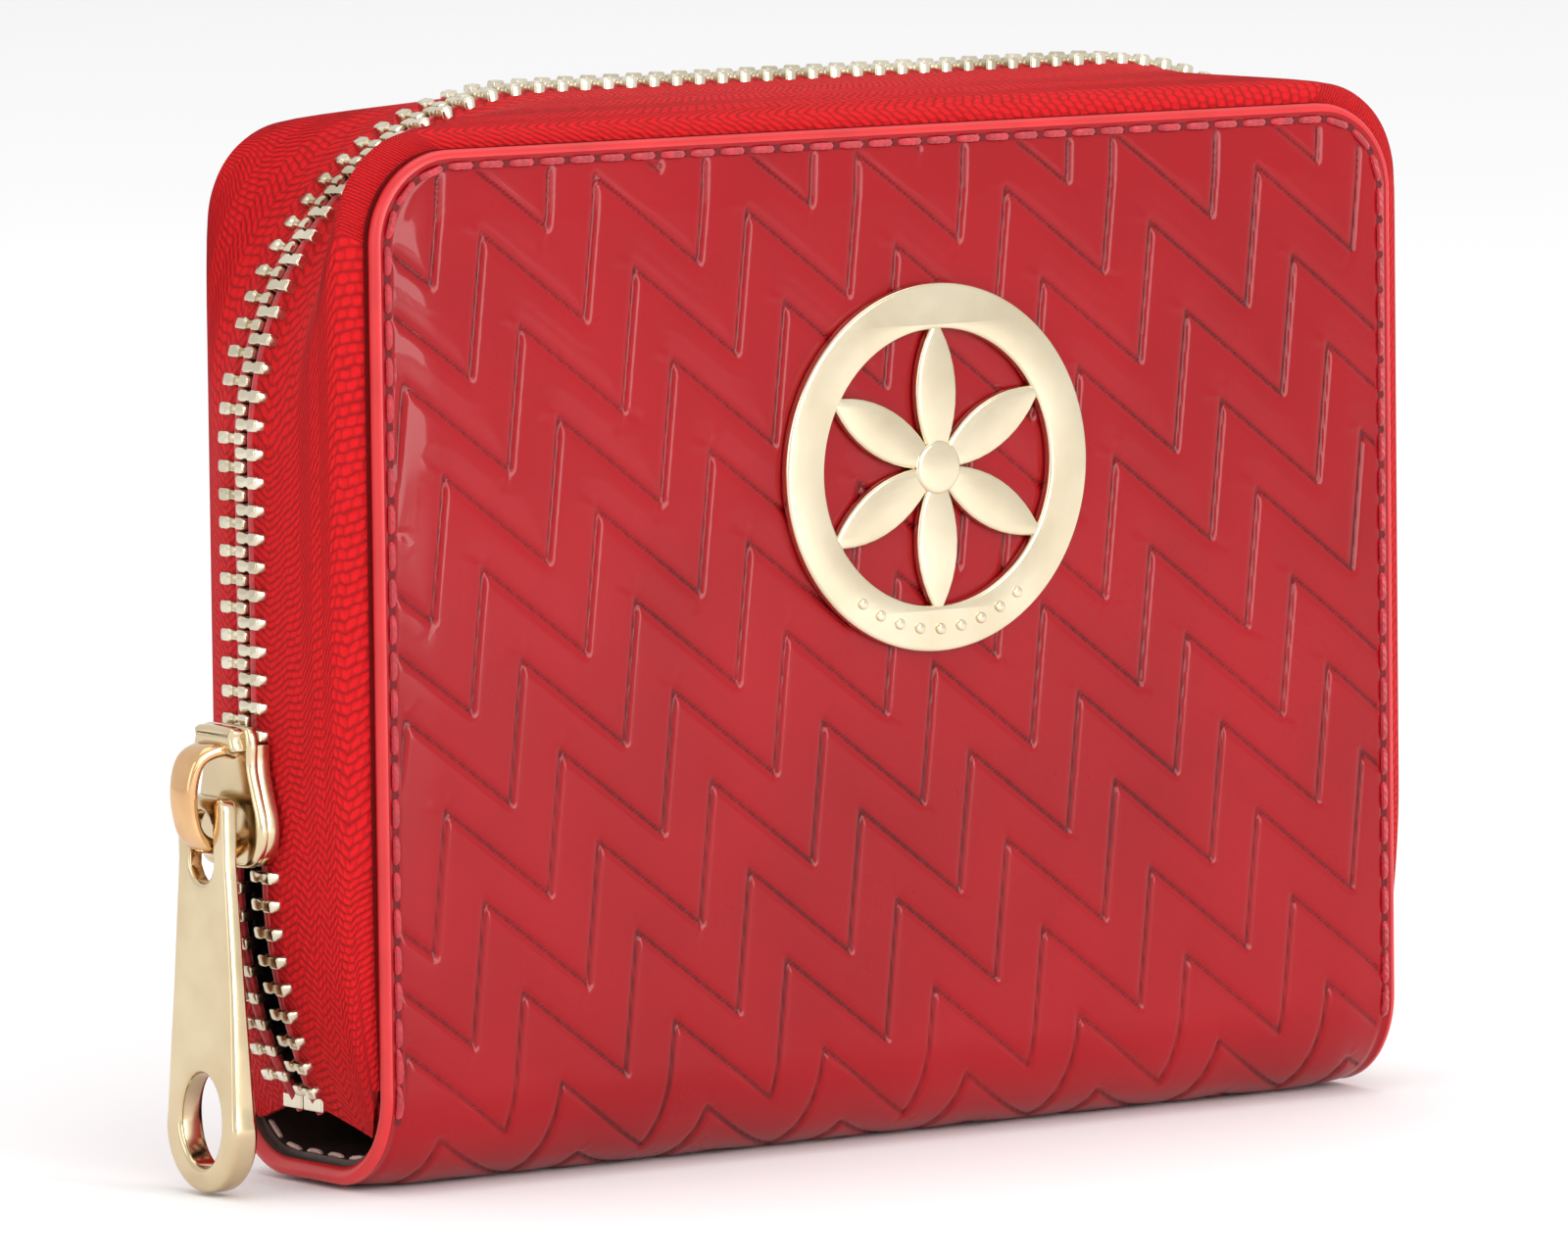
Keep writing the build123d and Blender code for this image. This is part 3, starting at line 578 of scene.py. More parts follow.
def make_covers():
    shell, lines = cover_skin()
    materials = [PATENT, EDGE, LINING]
    front = shell.make("front_cover_skin", materials, 60)
    back = shell.mirrored().make("back_cover_skin", materials, 60)
    for skin in (front, back):
        attribute = skin.data.attributes.new("line", "FLOAT", "POINT")
        attribute.data.foreach_set("value", lines)
    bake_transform(front)
    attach(back, "back_half")
    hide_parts("front_cover")
    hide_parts("back_cover", "spine_cover")


# ---------- seam stitches ----------
def seam_line(inset, low, step):
    """Evenly spaced cover places along the seam, from its left end over the top to its right end."""
    half_w, top = HALF_W - inset, COVER_LENGTH - inset
    radius = CORNER_R - inset
    line = [(-half_w, low), (-half_w, top - radius)]
    line += arc_points((-half_w + radius, top - radius), radius, 180, 90, 13)[1:]
    line += arc_points((half_w - radius, top - radius), radius, 90, 0, 13)
    line += [(half_w, low)]
    return even_steps(line, step)


def even_steps(line, step):
    """Points every step along a line of points."""
    line = np.array(line, float)
    lengths = np.linalg.norm(np.diff(line, axis=0), axis=1)
    total = np.concatenate([[0], np.cumsum(lengths)])
    count = max(2, round(total[-1] / step) + 1)
    spots = np.linspace(0, total[-1], count)
    return np.array([np.interp(spots, total, line[:, axis]) for axis in range(line.shape[1])]).T


def thread_rings(ends, lift, radius, out_of):
    """Rings of one stitch between two places. out_of gives the point for a place and a lift."""
    (x0, s0), (x1, s1) = ends
    side = np.array([s1 - s0, x0 - x1]) / hypot(s1 - s0, x0 - x1)
    rings = []
    for t in np.linspace(-1, 1, 9):
        x, s = x0 + (x1 - x0) * (t + 1) / 2, s0 + (s1 - s0) * (t + 1) / 2
        height = lift - 0.34 * t ** 4
        size = radius * (1 - 0.55 * t ** 6)
        ring = []
        for angle in np.radians(np.arange(0, 360, 45)):
            sideways = size * cos(angle)
            ring.append(out_of(x + side[0] * sideways, s + side[1] * sideways, height + size * sin(angle)))
        rings.append(ring)
    return rings


def hole_disc(build, place, radius, out_of, lift):
    """Small dished hole at the end of a stitch, coloured with the painted shade of the hole."""
    x, s = place
    rings = []
    for share, deeper in ((1.0, 0.0), (0.55, 0.1)):
        rings.append([out_of(x + share * radius * cos(a), s + share * radius * sin(a), lift - deeper)
                      for a in np.radians(np.arange(0, 360, 60))])
    # slot 1 is the painted hole shade
    build.tube(rings, 1)


def cover_stitching():
    """Stitches and needle holes along the front cover's seam, sewn double at both ends."""
    build = Build()

    def out_of(x, s, lift):
        base = press_depth(np.array([x]), np.array([s]))[0] + 0.12
        return cover_point(x, s, base - lift)

    step = 0.05
    line = seam_line(STITCH_INSET, SEAM_LOW, step)
    count = round(step * (len(line) - 1) / STITCH_PITCH)
    pitch = (len(line) - 1) / count
    for number in range(count):
        middle = (number + 0.5) * pitch
        half = pitch * STITCH_L / STITCH_PITCH / 2
        ends = line[int(middle - half)], line[int(middle + half)]
        build.tube(thread_rings(ends, 0.17, THREAD_R, out_of))
        hole_disc(build, line[int(number * pitch)], HOLE_R, out_of, 0.05)
    for side in (-1, 1):
        x = side * (HALF_W - STITCH_INSET)
        for number in range(2):
            low = SEAM_LOW + 0.8 + number * STITCH_PITCH
            ends = (x - 0.25 * side, low), (x + 0.15 * side, low + STITCH_L)
            build.tube(thread_rings(ends, 0.22, 0.22, out_of))
    return build


def make_cover_stitches():
    stitches = cover_stitching()
    materials = [RED_THREAD, PIT]
    front = stitches.make("front_cover_thread", materials)
    back = stitches.mirrored().make("back_cover_thread", materials)
    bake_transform(front)
    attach(back, "back_half")
    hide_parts("front_cover_stitching")
    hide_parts("back_cover_stitching")


# ---------- thread seen inside the ends ----------
def make_lining_thread():
    """Lock stitches along both ends of the spine's lining."""
    radius = SPINE_R - COVER_T - LINING_T
    inset, pitch, length = 2.0, 3.3, 2.6

    def inside_spine(x, turn, lift):
        """A point on the lining's inside. turn is the length from the middle along the U."""
        reach = abs(turn) - FLAT_UNDER
        side = 1 if turn > 0 else -1
        if reach <= 0:
            return (x, turn, COVER_T + LINING_T + lift)
        angle = reach / radius
        hub = radius - lift
        return (x, side * (FLAT_UNDER + hub * sin(angle)), SPINE_R - hub * cos(angle))

    build = Build()
    for end in (-1, 1):
        x = end * (HALF_W - inset)
        for number in range(-4, 4):
            start = number * pitch + 0.4
            ends = (x, start), (x, start + length)
            build.tube(thread_rings(ends, 0.12, 0.24, inside_spine))
    seam = build.make("lining_thread", [CREAM_THREAD])
    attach(seam, "back_half")


# ---------- zip ----------
INNER_D = HALF_D - COVER_T


def arch(y):
    """Share of the full bulge that the zip has at depth y."""
    return sqrt(max(0.0, 1 - (y / INNER_D) ** 2))


def zip_line(share, inset, bottom):
    """Places (x, z) round the zip at one depth, from its left end over the top to its right end.
    Each stretch has the same number of points at every depth."""
    half_w = HALF_W + BULGE_SIDE * share - inset
    top = HEIGHT + BULGE_TOP * share - inset
    radius = CORNER_R + (ZIP_CORNER_R - CORNER_R) * smoothstep(0.35, 0.95, share) - inset
    tuck = 0.5 + (BULGE_SIDE - 0.2) * share    # how far the lower end turns in
    drop = DIVE_TOP - TAPE_BOTTOM
    dive_r = (tuck ** 2 + drop ** 2) / (2 * tuck)
    full = np.arcsin((DIVE_TOP - bottom) / dive_r)
    left = [(-(half_w - dive_r + dive_r * cos(a)), DIVE_TOP - dive_r * sin(a))
            for a in np.linspace(full, 0, 24)]
    left += [(-half_w, z) for z in np.linspace(DIVE_TOP, top - radius, 50)[1:]]
    left += arc_points((-half_w + radius, top - radius), radius, 180, 90, 40)[1:]
    left += [(x, top) for x in np.linspace(-half_w + radius, 0, 40)[1:]]
    return left + [(-x, z) for x, z in reversed(left[:-1])]


def row_shift(x, z):
    """How far a row of teeth stands away from its meshed place on the left side."""
    parted = TOOTH_LAP + OPEN_GAP
    heights = [END_Z, CLOSE_Z, PART_Z, MESH_Z]
    shifts = [TOOTH_LAP + 0.1, parted, parted, 0.0]
    return 0.0 if x > 0 else float(np.interp(z, heights, shifts))


def tape_bottom(y):
    """Lowest height of the tape at depth y, clear of the spine's lining."""
    low = TAPE_BOTTOM - 2.2 * (abs(y) - TOOTH_L) / (INNER_D - TOOTH_L)
    lining_r = SPINE_R - COVER_T - LINING_T
    over = abs(y) - FLAT_UNDER
    if over >= lining_r:
        return SPINE_R + 0.3
    if over > 0:
        low = max(low, SPINE_R - sqrt(lining_r ** 2 - over ** 2) + 0.3)
    return low


def tape_sheet(inset):
    """Rows of points of the front tape, from the cover to the clamped edge."""
    edge = TOOTH_L - TOOTH_LAP - CLAMP_L
    rows = []
    first = 0.01           # angle of the row that meets the cover
    for share_in in np.linspace(0, 1, 22):
        y = INNER_D * cos(first + share_in * (acos(edge / INNER_D) - first))
        row = []
        for x, z in zip_line(arch(y), inset, tape_bottom(y)):
            shifted = y + row_shift(x, z) * share_in ** 2
            row.append((x, -shifted, z))
        rows.append(row)
    return rows


def front_tape():
    """Woven tape as a thin closed sheet, with its place along and across the weave."""
    outside, inside = tape_sheet(0.0), tape_sheet(TAPE_T)
    count = len(outside[0])
    middle = outside[len(outside) // 2]
    along = np.concatenate([[0], np.cumsum(np.linalg.norm(np.diff(np.array(middle), axis=0), axis=1))])
    build = Build()
    weave = []
    loop = outside + inside[::-1]
    straight = 45          # a point on the straight left side
    across = 0.0
    for number, row in enumerate(loop):
        if number:
            across += np.linalg.norm(np.array(row[straight]) - np.array(loop[number - 1][straight]))
        weave += [(along[k], across, 0) for k in range(count)]
    faces = []
    for r in range(len(loop)):
        low, high = r * count, (r + 1) % len(loop) * count
        for k in range(count - 1):
            faces.append((low + k, high + k, high + k + 1, low + k + 1))
    ends = [tuple(r * count for r in range(len(loop))),
            tuple(r * count + count - 1 for r in reversed(range(len(loop))))]
    build.add([p for row in loop for p in row], faces + ends)
    return build, weave


def edge_cord():
    """Cord woven into the tape's edge, which the teeth are clamped over."""
    edge = TOOTH_L - TOOTH_LAP - CLAMP_L
    path = np.array(zip_line(arch(edge), TAPE_T / 2, TAPE_BOTTOM))
    runs = np.gradient(path, axis=0)
    runs /= np.linalg.norm(runs, axis=1)[:, None]
    rings = []
    for (x, z), (run_x, run_z) in zip(path, runs):
        y = -edge - row_shift(x, z)
        rings.append([(x - run_z * CORD_R * cos(a), y + CORD_R * sin(a), z + run_x * CORD_R * cos(a))
                      for a in np.radians(np.arange(0, 360, 45))])
    build = Build()
    build.tube(rings)
    return build


def make_tapes():
    sheet, weave = front_tape()
    rope = edge_cord()
    sides = (("front", sheet, rope), ("back", sheet.mirrored(), rope.mirrored()))
    for side, tape_build, cord_build in sides:
        tape = tape_build.make(f"{side}_tape_cloth", [TAPE_CLOTH], 60)
        store_weave(tape, weave)
        cord = cord_build.make(f"{side}_tape_cord", [CORD_CLOTH], 60)
        for piece in (tape, cord):
            if side == "front":
                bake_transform(piece)
            else:
                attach(piece, "back_half")
        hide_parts(f"{side}_zip_tape")


def rounded(half, turn, power):
    """One coordinate of a rounded box section. turn is the sine or cosine of the place's angle."""
    return half * np.sign(turn) * abs(turn) ** power


def tooth_rings():
    """Cross sections of one tooth, from its clamp over its neck to its head."""
    clamp = [(-TOOTH_L, 0.8, 1.9), (-3.32, 1.05, 2.15), (-3.2, 1.16, 2.25), (-2.2, 1.16, 2.25)]
    neck = [(-2.1, 1.05, 2.0), (-2.0, 0.86, 1.75), (-1.25, 0.86, 1.75)]
    head = [(-1.1, 1.1, 1.85), (-0.3, 1.12, 1.85), (-0.06, 1.0, 1.7), (0.0, 0.8, 1.4)]
    rings = []
    for across, width, thick in clamp + neck + head:
        rings.append([(rounded(width / 2, cos(angle), 0.35), across, rounded(thick / 2, sin(angle), 0.35))
                      for angle in np.radians(np.arange(15, 375, 30))])
    return rings


def teeth(side):
    """The row of teeth on one tape. side is -1 for the front row and 1 for the back row."""
    path = even_steps(zip_line(1.0, TAPE_T / 2, TAPE_BOTTOM), 0.1)
    steps = np.linalg.norm(np.diff(path, axis=0), axis=1)
    total = np.concatenate([[0], np.cumsum(steps)])
    first = CHAIN_START + side * PITCH / 4
    sections = tooth_rings()
    build = Build()
    for number in range(int((total[-1] - 2 * CHAIN_START) / PITCH)):
        along = first + number * PITCH
        x = np.interp(along, total, path[:, 0])
        z = np.interp(along, total, path[:, 1])
        far_x = np.interp(along + 0.3, total, path[:, 0])
        far_z = np.interp(along + 0.3, total, path[:, 1])
        run = np.array([far_x - x, 0, far_z - z])
        run /= np.linalg.norm(run)
        inward = np.array([0.0, side, 0.0])
        outward = np.cross(run, [0, 1, 0]) * -1
        tip = TOOTH_LAP - row_shift(x, z)
        seat = np.array([x, -side * tip, z])
        rings = []
        for ring in sections:
            rings.append([seat + run * p[0] - inward * p[1] + outward * p[2] for p in ring])
        if side < 0:
            rings = [ring[::-1] for ring in rings]
        build.tube(rings)
    return build


def make_teeth():
    front = teeth(-1).make("front_tooth_row", [TOOTH_METAL])
    back = teeth(1).make("back_tooth_row", [TOOTH_METAL])
    for piece in (front, back):
        merge_close(piece, 0.001)
    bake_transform(front)
    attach(back, "back_half")
    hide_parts("front_zip_teeth")
    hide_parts("back_zip_teeth")


# ---------- emblem ----------
EMBLEM_LOW, EMBLEM_HIGH = box_mm("emblem")
EMBLEM_MID = (EMBLEM_LOW + EMBLEM_HIGH) / 2
EMBLEM_R = (EMBLEM_HIGH[0] - EMBLEM_LOW[0]) / 2
EMBLEM_BAND = 4.1
EMBLEM_T = 1.1
PETALS = 6
PETAL_W = 4.4
HUB_R = 2.4
BEADS = 9
BEAD_R = 0.5
BEAD_STEP = 9             # degrees from one bead to the next


def emblem_place(lift):
    """Turns emblem plate coordinates into object points, with the plate's back at the cover."""
    def place(x, y, z):
        return (EMBLEM_MID[0] + x, -HALF_D - lift - z, EMBLEM_MID[2] + y)
    return place


def leaf_outline(length, width, angle):
    """Pointed leaf from the emblem's middle, where two large circles cross."""
    radius = (length ** 2 + width ** 2) / (4 * width)
    half_turn = np.degrees(np.arcsin(length / 2 / radius))
    centre = (length / 2, radius - width / 2)
    lower = arc_points(centre, radius, -90 - half_turn, -90 + half_turn, 13)
    upper = [(x, -y) for x, y in reversed(lower[1:-1])]
    turn = radians(angle)
    return [(x * cos(turn) - y * sin(turn), x * sin(turn) + y * cos(turn)) for x, y in lower + upper]


def make_emblem():
    """Openwork ring with a six-petal rosette and a row of beads."""
    build = Build()
    rim = arc_points((0, 0), EMBLEM_R, 0, 357.5, 144)
    hole = arc_points((0, 0), EMBLEM_R - EMBLEM_BAND, 0, 357.5, 144)
    build.add(*plate([rim, hole], EMBLEM_T, 0.35, emblem_place(EMBLEM_T / 2)))
    for number in range(PETALS):
        leaf = leaf_outline(EMBLEM_R - EMBLEM_BAND + 1.0, PETAL_W, 30 + number * 360 / PETALS)
        build.add(*plate([leaf], EMBLEM_T - 0.1, 0.35, emblem_place(EMBLEM_T / 2 - 0.06)))
    hub = arc_points((0, 0), HUB_R, 0, 350, 36)
    build.add(*plate([hub], EMBLEM_T, 0.4, emblem_place(EMBLEM_T / 2 + 0.12)))
    reach = EMBLEM_R - EMBLEM_BAND / 2
    for number in range(BEADS):
        turn = radians(-90 + (number - BEADS // 2) * BEAD_STEP)
        bead = arc_points((reach * cos(turn), reach * sin(turn)), BEAD_R, 0, 340, 18)
        build.add(*plate([bead], 0.6, 0.25, emblem_place(EMBLEM_T)))
    emblem = build.make("emblem_disc", [EMBLEM_GOLD_LIT], 50)
    merge_close(emblem)
    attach(emblem, "front_half")
    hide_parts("emblem")


# ---------- pull ----------
PULL_LOW = box_mm("zip_pull")[0][2]
PULL_Z = 33.7             # the bar that hangs on the bridge
PULL_X = CHAIN_X - 4.6
PULL_SHOULDER = (3.65, 29.0)            # half width and height on the way down
PULL_MID = (4.6, 18.0)
PULL_WIDEST = (5.3, 7.0)
PULL_HOLE_Z = 6.6
PULL_HOLE = (3.25, 4.1)
EYE_HALF_W = 1.85


def through(p0, p1, p2, count):
    """Points on the arc through three points."""
    a, b, c = (complex(*p) for p in (p0, p1, p2))
    w = (c - a) / (b - a)
    centre = (b - a) * (w - abs(w) ** 2) / (2j * w.imag) + a
    start, end = np.angle(a - centre), np.angle(c - centre)
    mid = np.angle(b - centre)
    turn = (end - start) % (2 * pi)
    if (mid - start) % (2 * pi) > turn:
        turn -= 2 * pi
    spots = centre + abs(a - centre) * np.exp(1j * (start + turn * np.linspace(0, 1, count)))
    return [(spot.real, spot.imag) for spot in spots]


def oval(centre, half_w, half_h, count):
    return [(centre[0] + half_w * cos(a), centre[1] + half_h * sin(a))
            for a in np.linspace(0, 2 * pi, count, endpoint=False)]


def make_pull():
    """Flat pull: narrow eye over the bridge at the top, flaring to a thick ring at the bottom."""
    top_half = 2.6
    right = [(top_half, PULL_Z + 1.0)] + arc_points((top_half, PULL_Z - 0.05), 1.05, 80, 0, 5)
    right += through(PULL_SHOULDER, PULL_MID, PULL_WIDEST, 16)
    left = [(-y, z) for y, z in reversed(right)]
    outline = right + through(PULL_WIDEST, (0, PULL_LOW), left[0], 36)[1:-1] + left
    eye_low, eye_high = 28.6, 32.2
    eye = [(-EYE_HALF_W, eye_low), (-EYE_HALF_W, eye_high)]
    eye += arc_points((0, eye_high - 0.6), EYE_HALF_W, 160, 20, 7)
    eye += [(EYE_HALF_W, eye_high), (EYE_HALF_W, eye_low)]
    eye += arc_points((0, eye_low + 0.3), EYE_HALF_W - 0.05, -20, -160, 8)
    ring = oval((0, PULL_HOLE_Z), *PULL_HOLE, 40)
    heights = [0, 6, 18, 27, PULL_Z]
    halves = [1.25, 1.3, 0.85, 0.75, 0.8]

    def place(y, z, out):
        return (PULL_X - out * float(np.interp(z, heights, halves)), y, z)

    build = Build()
    build.add(*plate([outline, eye, ring], 2.0, 0.42, place))
    pull = build.make("pull_tab", [PALE_GOLD], 50)
    merge_close(pull)
    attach(pull, "main_pull")
    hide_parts("zip_pull")


# ---------- slider ----------
SLIDER_LOW, SLIDER_HIGH = (corner[2] for corner in box_mm("zip_slider_body"))
STRAP_OUT = box_mm("zip_slider_bridge")[0][0]
PLATE_T = 1.2
CHANNEL_T = 1.3           # from the chain's middle to each plate
STRAP_T = 1.4
POST_HALF_W = 0.6
POST_TOP = 33.6
OUTER_FACE = CHAIN_X - CHANNEL_T
INNER_FACE = CHAIN_X + CHANNEL_T


def smooth_loop(points, steps, closed=True):
    """Curve through the points, with a few steps between each pair."""
    count = len(points)
    line = []
    pairs = count if closed else count - 1
    for i in range(pairs):
        spots = [i - 1, i, i + 1, i + 2]
        spots = [k % count if closed else min(max(k, 0), count - 1) for k in spots]
        a, b, c, d = (np.array(points[k], float) for k in spots)
        for t in np.linspace(0, 1, steps, endpoint=False):
            line.append(tuple(0.5 * (2 * b + (c - a) * t + (2 * a - 5 * b + 4 * c - d) * t ** 2
                                     + (3 * b - a - 3 * c + d) * t ** 3)))
    if not closed:
        line.append(tuple(points[-1]))
    return line


def slider_half():
    """Right half of the slider's pear-shaped outline, from the top to the bottom."""
    return [(2.6, SLIDER_HIGH), (3.5, SLIDER_HIGH - 0.4), (3.75, SLIDER_HIGH - 1.6), (3.7, 37.2),
            (4.3, 35.0), (4.95, 32.9), (5.05, 31.2), (4.6, 29.7), (3.4, SLIDER_LOW + 0.2),
            (1.6, SLIDER_LOW)]


def slider_outline():
    half = slider_half()
    return smooth_loop(half + [(-y, z) for y, z in reversed(half)], 5)


def facing_left(middle, dome=0.0):
    """Places a plate drawn in (y, z) so that its outside faces the left."""
    def place(y, z, out):
        return (middle - out - dome * (1 - (y / 5) ** 2), y, z)
    return place


def slider_flange(side):
    """Outline of one side wall, between the slider's edge and the channel for the teeth."""
    outer = smooth_loop(slider_half()[2:9], 5, closed=False)
    inner = [(3.0, outer[-1][1] + 0.6), (4.25, 31.6), (3.9, 34.6), (3.05, 37.4), (3.05, outer[0][1])]
    return [(side * y, z) for y, z in outer + smooth_loop(inner, 4, closed=False)]


def sweep(build, path, widths, thickness):
    """Strap of rounded section along a path in the XZ plane."""
    path = np.array(path)
    runs = np.gradient(path, axis=0)
    runs /= np.linalg.norm(runs, axis=1)[:, None]
    rings = []
    for (x, z), (run_x, run_z), width in zip(path, runs, widths):
        ring = []
        for a in np.radians(np.arange(9, 369, 18)):
            across = rounded(width / 2, cos(a), 0.6)
            out = rounded(thickness / 2, sin(a), 0.6)
            ring.append((x - run_z * out, across, z + run_x * out))
        rings.append(ring)
    build.tube(rings)


def make_slider_body():
    """Two pear-shaped plates with side walls, joined by the post that parts the rows."""
    body = Build()
    body.add(*plate([slider_outline()], PLATE_T, 0.45, facing_left(OUTER_FACE - PLATE_T / 2, 0.35)))
    body.add(*plate([slider_outline()], PLATE_T - 0.2, 0.3, facing_left(INNER_FACE + PLATE_T / 2)))
    for side in (-1, 1):
        body.add(*plate([slider_flange(side)], 1.5, 0.25, facing_left(OUTER_FACE + 0.2), 3))
        body.add(*plate([slider_flange(side)], 0.9, 0.2, facing_left(INNER_FACE - 0.05), 3))
    low, high = SLIDER_LOW + 0.5, 31.0
    post = smooth_loop([(0, POST_TOP), (POST_HALF_W - 0.05, high), (POST_HALF_W, low),
                        (-POST_HALF_W, low), (0.05 - POST_HALF_W, high)], 4)
    body.add(*plate([post], 2 * CHANNEL_T + 0.6, 0.1, facing_left(CHAIN_X), 2))
    return body.make("slider_body", [PALE_GOLD], 50)


def make_lock_cap():
    """Domed cap over the locking spring, at the narrow end."""
    half = [(2.7, SLIDER_HIGH - 2.3), (2.9, SLIDER_HIGH - 1.0), (2.5, SLIDER_HIGH - 0.1)]
    nose = smooth_loop([(-2.7, SLIDER_HIGH - 2.3)] + half + [(-y, z) for y, z in reversed(half[1:])], 4)
    cap = Build()
    cap.add(*plate([nose], 1.7, 0.5, facing_left(OUTER_FACE - PLATE_T - 0.5, 0.2)))
    return cap.make("slider_lock_cap", [PALE_GOLD], 50)


def make_bridge():
    """Bent strap that the pull hangs on."""
    foot = OUTER_FACE - PLATE_T + 0.3
    middle = STRAP_OUT + STRAP_T / 2
    upper = [(foot, 38.3), (foot - 1.6, 38.7), (middle + 0.9, 38.0), (middle, 36.0)]
    lower = [(middle, 33.4), (middle + 1.0, 31.0), (foot - 0.6, 29.7), (foot + 0.5, 29.6)]
    path = smooth_loop(upper + lower, 6, closed=False)
    widths = np.interp(np.linspace(0, 1, len(path)), [0, 0.3, 0.6, 1], [4.2, 3.6, 3.0, 3.2])
    strap = Build()
    sweep(strap, path, widths, STRAP_T)
    return strap.make("slider_bridge", [ROSE_GOLD], 60)


def make_slider():
    pieces = ((make_slider_body(), "zip_slider_body"), (make_lock_cap(), "zip_slider_lock_cap"),
              (make_bridge(), "zip_slider_bridge"))
    for piece, node in pieces:
        merge_close(piece)
        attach(piece, "main_slider")
        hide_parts(node)


# ---------- pocket stitching ----------
def panel_seam(build, node, inset, face_y, side):
    """Stitches along the left, lower and right edges of a flat panel. side is the way it faces."""
    low, high = box_mm(node)
    left, right, bottom = low[0] + inset, high[0] - inset, low[2] + inset
    top = high[2] - inset
    route = even_steps([(left, top), (left, bottom), (right, bottom), (right, top)], 0.1)

    def out_of(x, z, lift):
        return (x, face_y + side * lift, z)

    pitch, length = 32, 24          # in steps of the route
    for start in range(4, len(route) - pitch, pitch):
        ends = route[start], route[start + length]
        build.tube(thread_rings(ends, 0.1, 0.2, out_of))


def make_pocket_thread():
    """Thread on the card slots of both halves and on the coin pocket."""
    for half, body, side in (("front", "front_half", 1), ("back", "back_half", -1)):
        build = Build()
        for name in ("upper", "middle", "lower"):
            low, high = box_mm(f"{half}_card_slot_{name}")
            panel_seam(build, f"{half}_card_slot_{name}", 1.2, high[1] if side > 0 else low[1], side)
        thread = build.make(f"{half}_card_slot_thread", [BROWN_THREAD])
        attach(thread, body)
    build = Build()
    for half, side in (("front", -1), ("back", 1)):
        low, high = box_mm(f"coin_pocket_{half}_panel")
        panel_seam(build, f"coin_pocket_{half}_panel", 1.3, low[1] if side < 0 else high[1], side)
    thread = build.make("coin_pocket_thread", [BROWN_THREAD])
    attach(thread, "coin_divider")


# ---------- carried-over CAD nodes ----------
def paint(node, material):
    """Give a CAD node a material."""
    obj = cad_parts[node]
    if not obj.material_slots:
        obj.data.materials.append(material)
    for slot in obj.material_slots:
        slot.link = "OBJECT"
        slot.material = material


def paint_cad_nodes():
    for node in ("coin_slider_body", "coin_slider_bridge", "coin_pull"):
        paint(node, PALE_GOLD)
    for node in ("front_zip_end_stop", "back_zip_end_stop", "zip_retaining_box", "coin_zip_stops",
                 "coin_zip_front_teeth", "coin_zip_back_teeth"):
        paint(node, TOOTH_METAL)
    paint("emblem_backing_plate", STEEL)
    for node in ("front_board", "back_board"):
        paint(node, BOARD)
    for node in ("spine_lining", "front_lining", "back_lining", "left_front_gusset", "left_back_gusset",
                 "right_front_gusset", "right_back_gusset"):
        paint(node, LINING)
    for side in ("front", "back"):
        for name in ("upper", "middle", "lower"):
            paint(f"{side}_card_slot_{name}", POCKET)
        paint(f"coin_pocket_{side}_panel", POCKET)
        paint(f"coin_zip_{side}_tape", POCKET)
    paint("coin_pocket_edge_strip", POCKET)


# ---------- camera, light and floor ----------
def plain_surface(name, colour, rough):
    m = Nodes(name)
    tone = m.ramp(m.noise(3.0), [(0.3, tuple(c * 0.985 for c in colour)), (0.7, colour)])
    return m.finish(Base_Color=tone, Roughness=rough)


def make_floor():
    size = 6.0
    points = np.array([(-size, -size, 0), (size, -size, 0), (size, size, 0), (-size, size, 0)]) / MM
    white = plain_surface("floor_white", (0.93, 0.93, 0.93), 0.8)
    floor = new_object("floor", points, [(0, 1, 2, 3)], [white])


def aim(obj, target):
    obj.rotation_euler = (Vector(target) - obj.location).to_track_quat("-Z", "Y").to_euler()


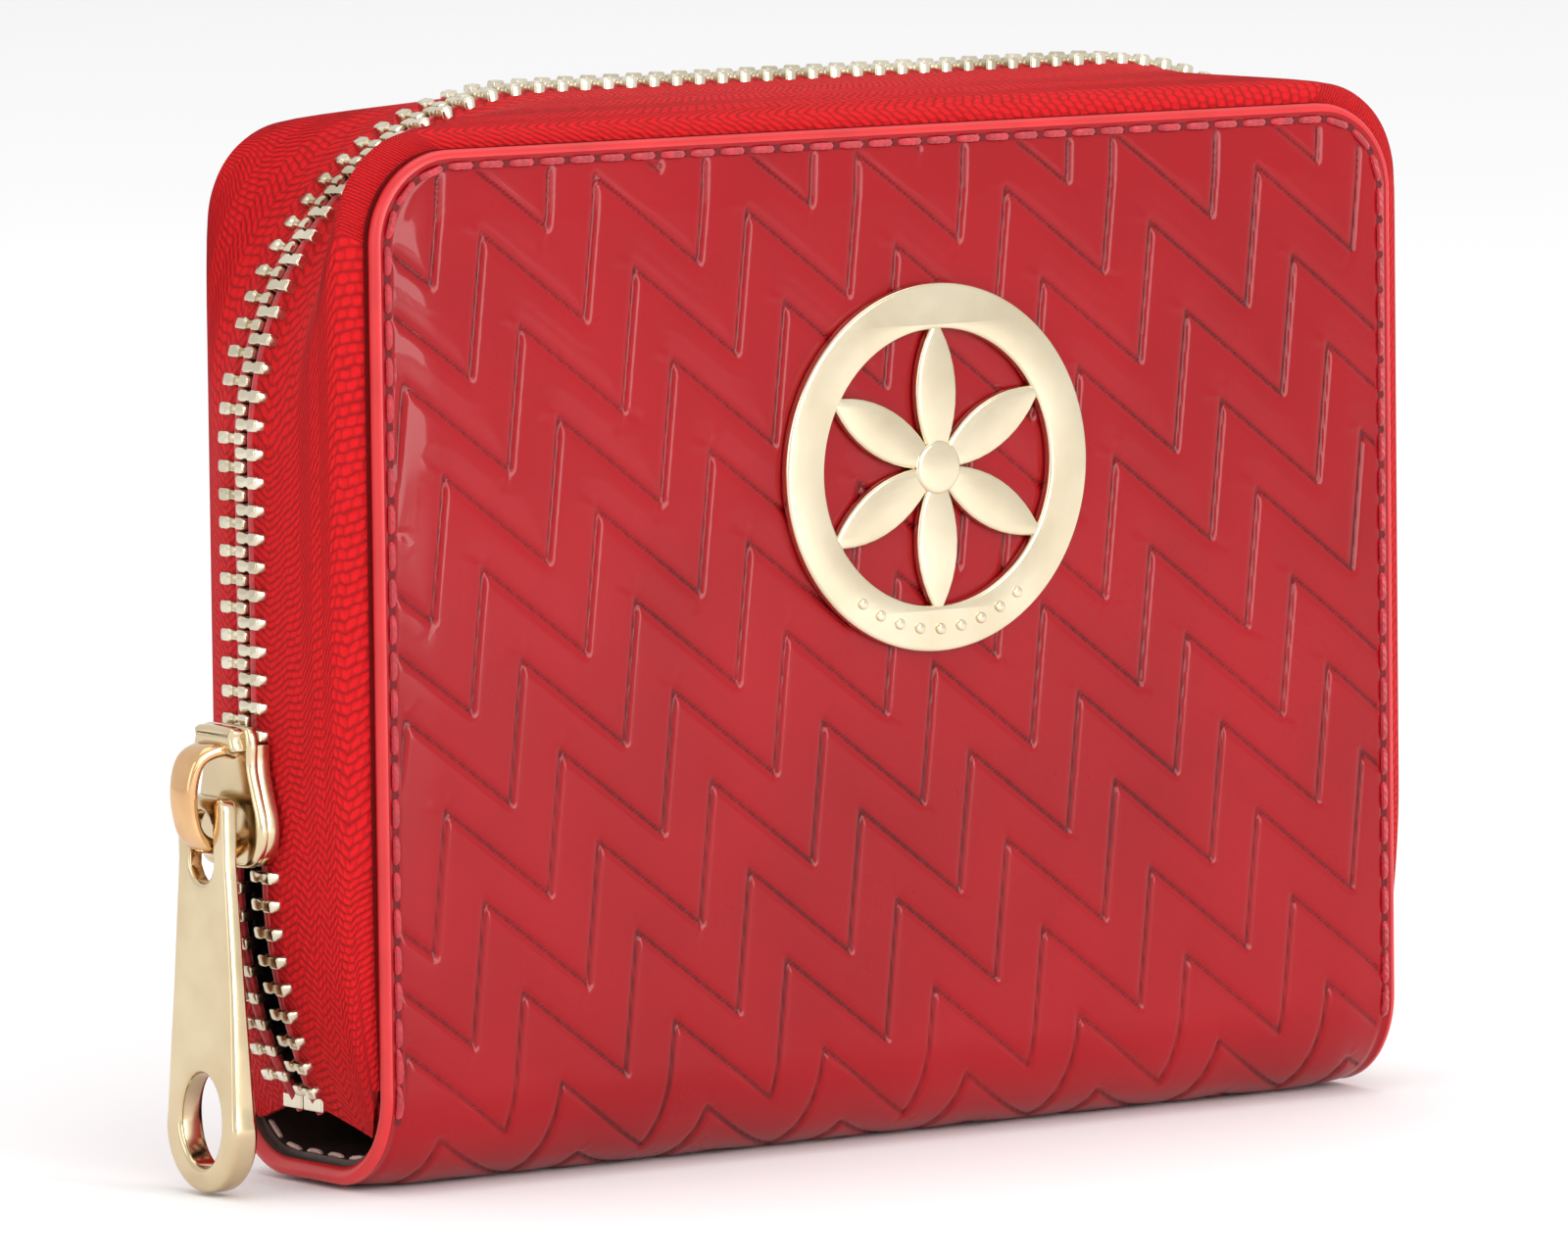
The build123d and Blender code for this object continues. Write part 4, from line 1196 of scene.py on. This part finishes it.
def soft_light(name, place, target, size, power):
    light = bpy.data.lights.new(name, "AREA")
    light.shape = "RECTANGLE"
    light.size, light.size_y = size
    light.energy = power
    obj = bpy.data.objects.new(name, light)
    bpy.context.collection.objects.link(obj)
    obj.location = place
    aim(obj, target)


def make_lights():
    middle = (0, 0, 0.045)
    soft_light("key", (-0.35, -1.5, 0.75), middle, (0.9, 1.1), 5)
    soft_light("left_fill", (-1.5, -0.35, 0.55), middle, (0.8, 1.2), 4)
    soft_light("top", (0.1, 0.1, 1.5), middle, (1.2, 1.2), 5)
    soft_light("front_strip", (0.12, -0.6, 0.2), middle, (0.2, 0.4), 1.6)
    world = bpy.data.worlds.new("studio")
    world.use_nodes = True
    world.node_tree.nodes["Background"].inputs["Color"].default_value = (1, 1, 1, 1)
    world.node_tree.nodes["Background"].inputs["Strength"].default_value = 0.95
    bpy.context.scene.world = world


def make_camera():
    """Long lens, from the left of the front cover and a little above it."""
    yaw, pitch, roll = radians(35.43), radians(5.53), radians(-0.663)
    distance = 1.179
    target = Vector((0, 0, 0.045))
    back = Vector((-sin(yaw) * cos(pitch), -cos(yaw) * cos(pitch), sin(pitch)))
    forward = -back
    level = forward.cross(Vector((0, 0, 1))).normalized()
    upright = level.cross(forward)
    right = cos(roll) * level + sin(roll) * upright
    up = -sin(roll) * level + cos(roll) * upright
    data = bpy.data.cameras.new("camera")
    data.sensor_width = 36.0
    data.lens = 305.15
    data.shift_x = -0.0217
    data.clip_end = 50
    camera = bpy.data.objects.new("camera", data)
    bpy.context.collection.objects.link(camera)
    turn = Matrix((right, up, back)).transposed().to_4x4()
    camera.matrix_world = Matrix.Translation(target + back * distance) @ turn
    bpy.context.scene.camera = camera


def main():
    make_camera()
    make_floor()
    make_lights()
    make_covers()
    make_cover_stitches()
    make_tapes()
    make_teeth()
    make_emblem()
    make_pull()
    make_slider()
    make_lining_thread()
    make_pocket_thread()
    paint_cad_nodes()
    bpy.context.scene.view_settings.view_transform = "Standard"


main()
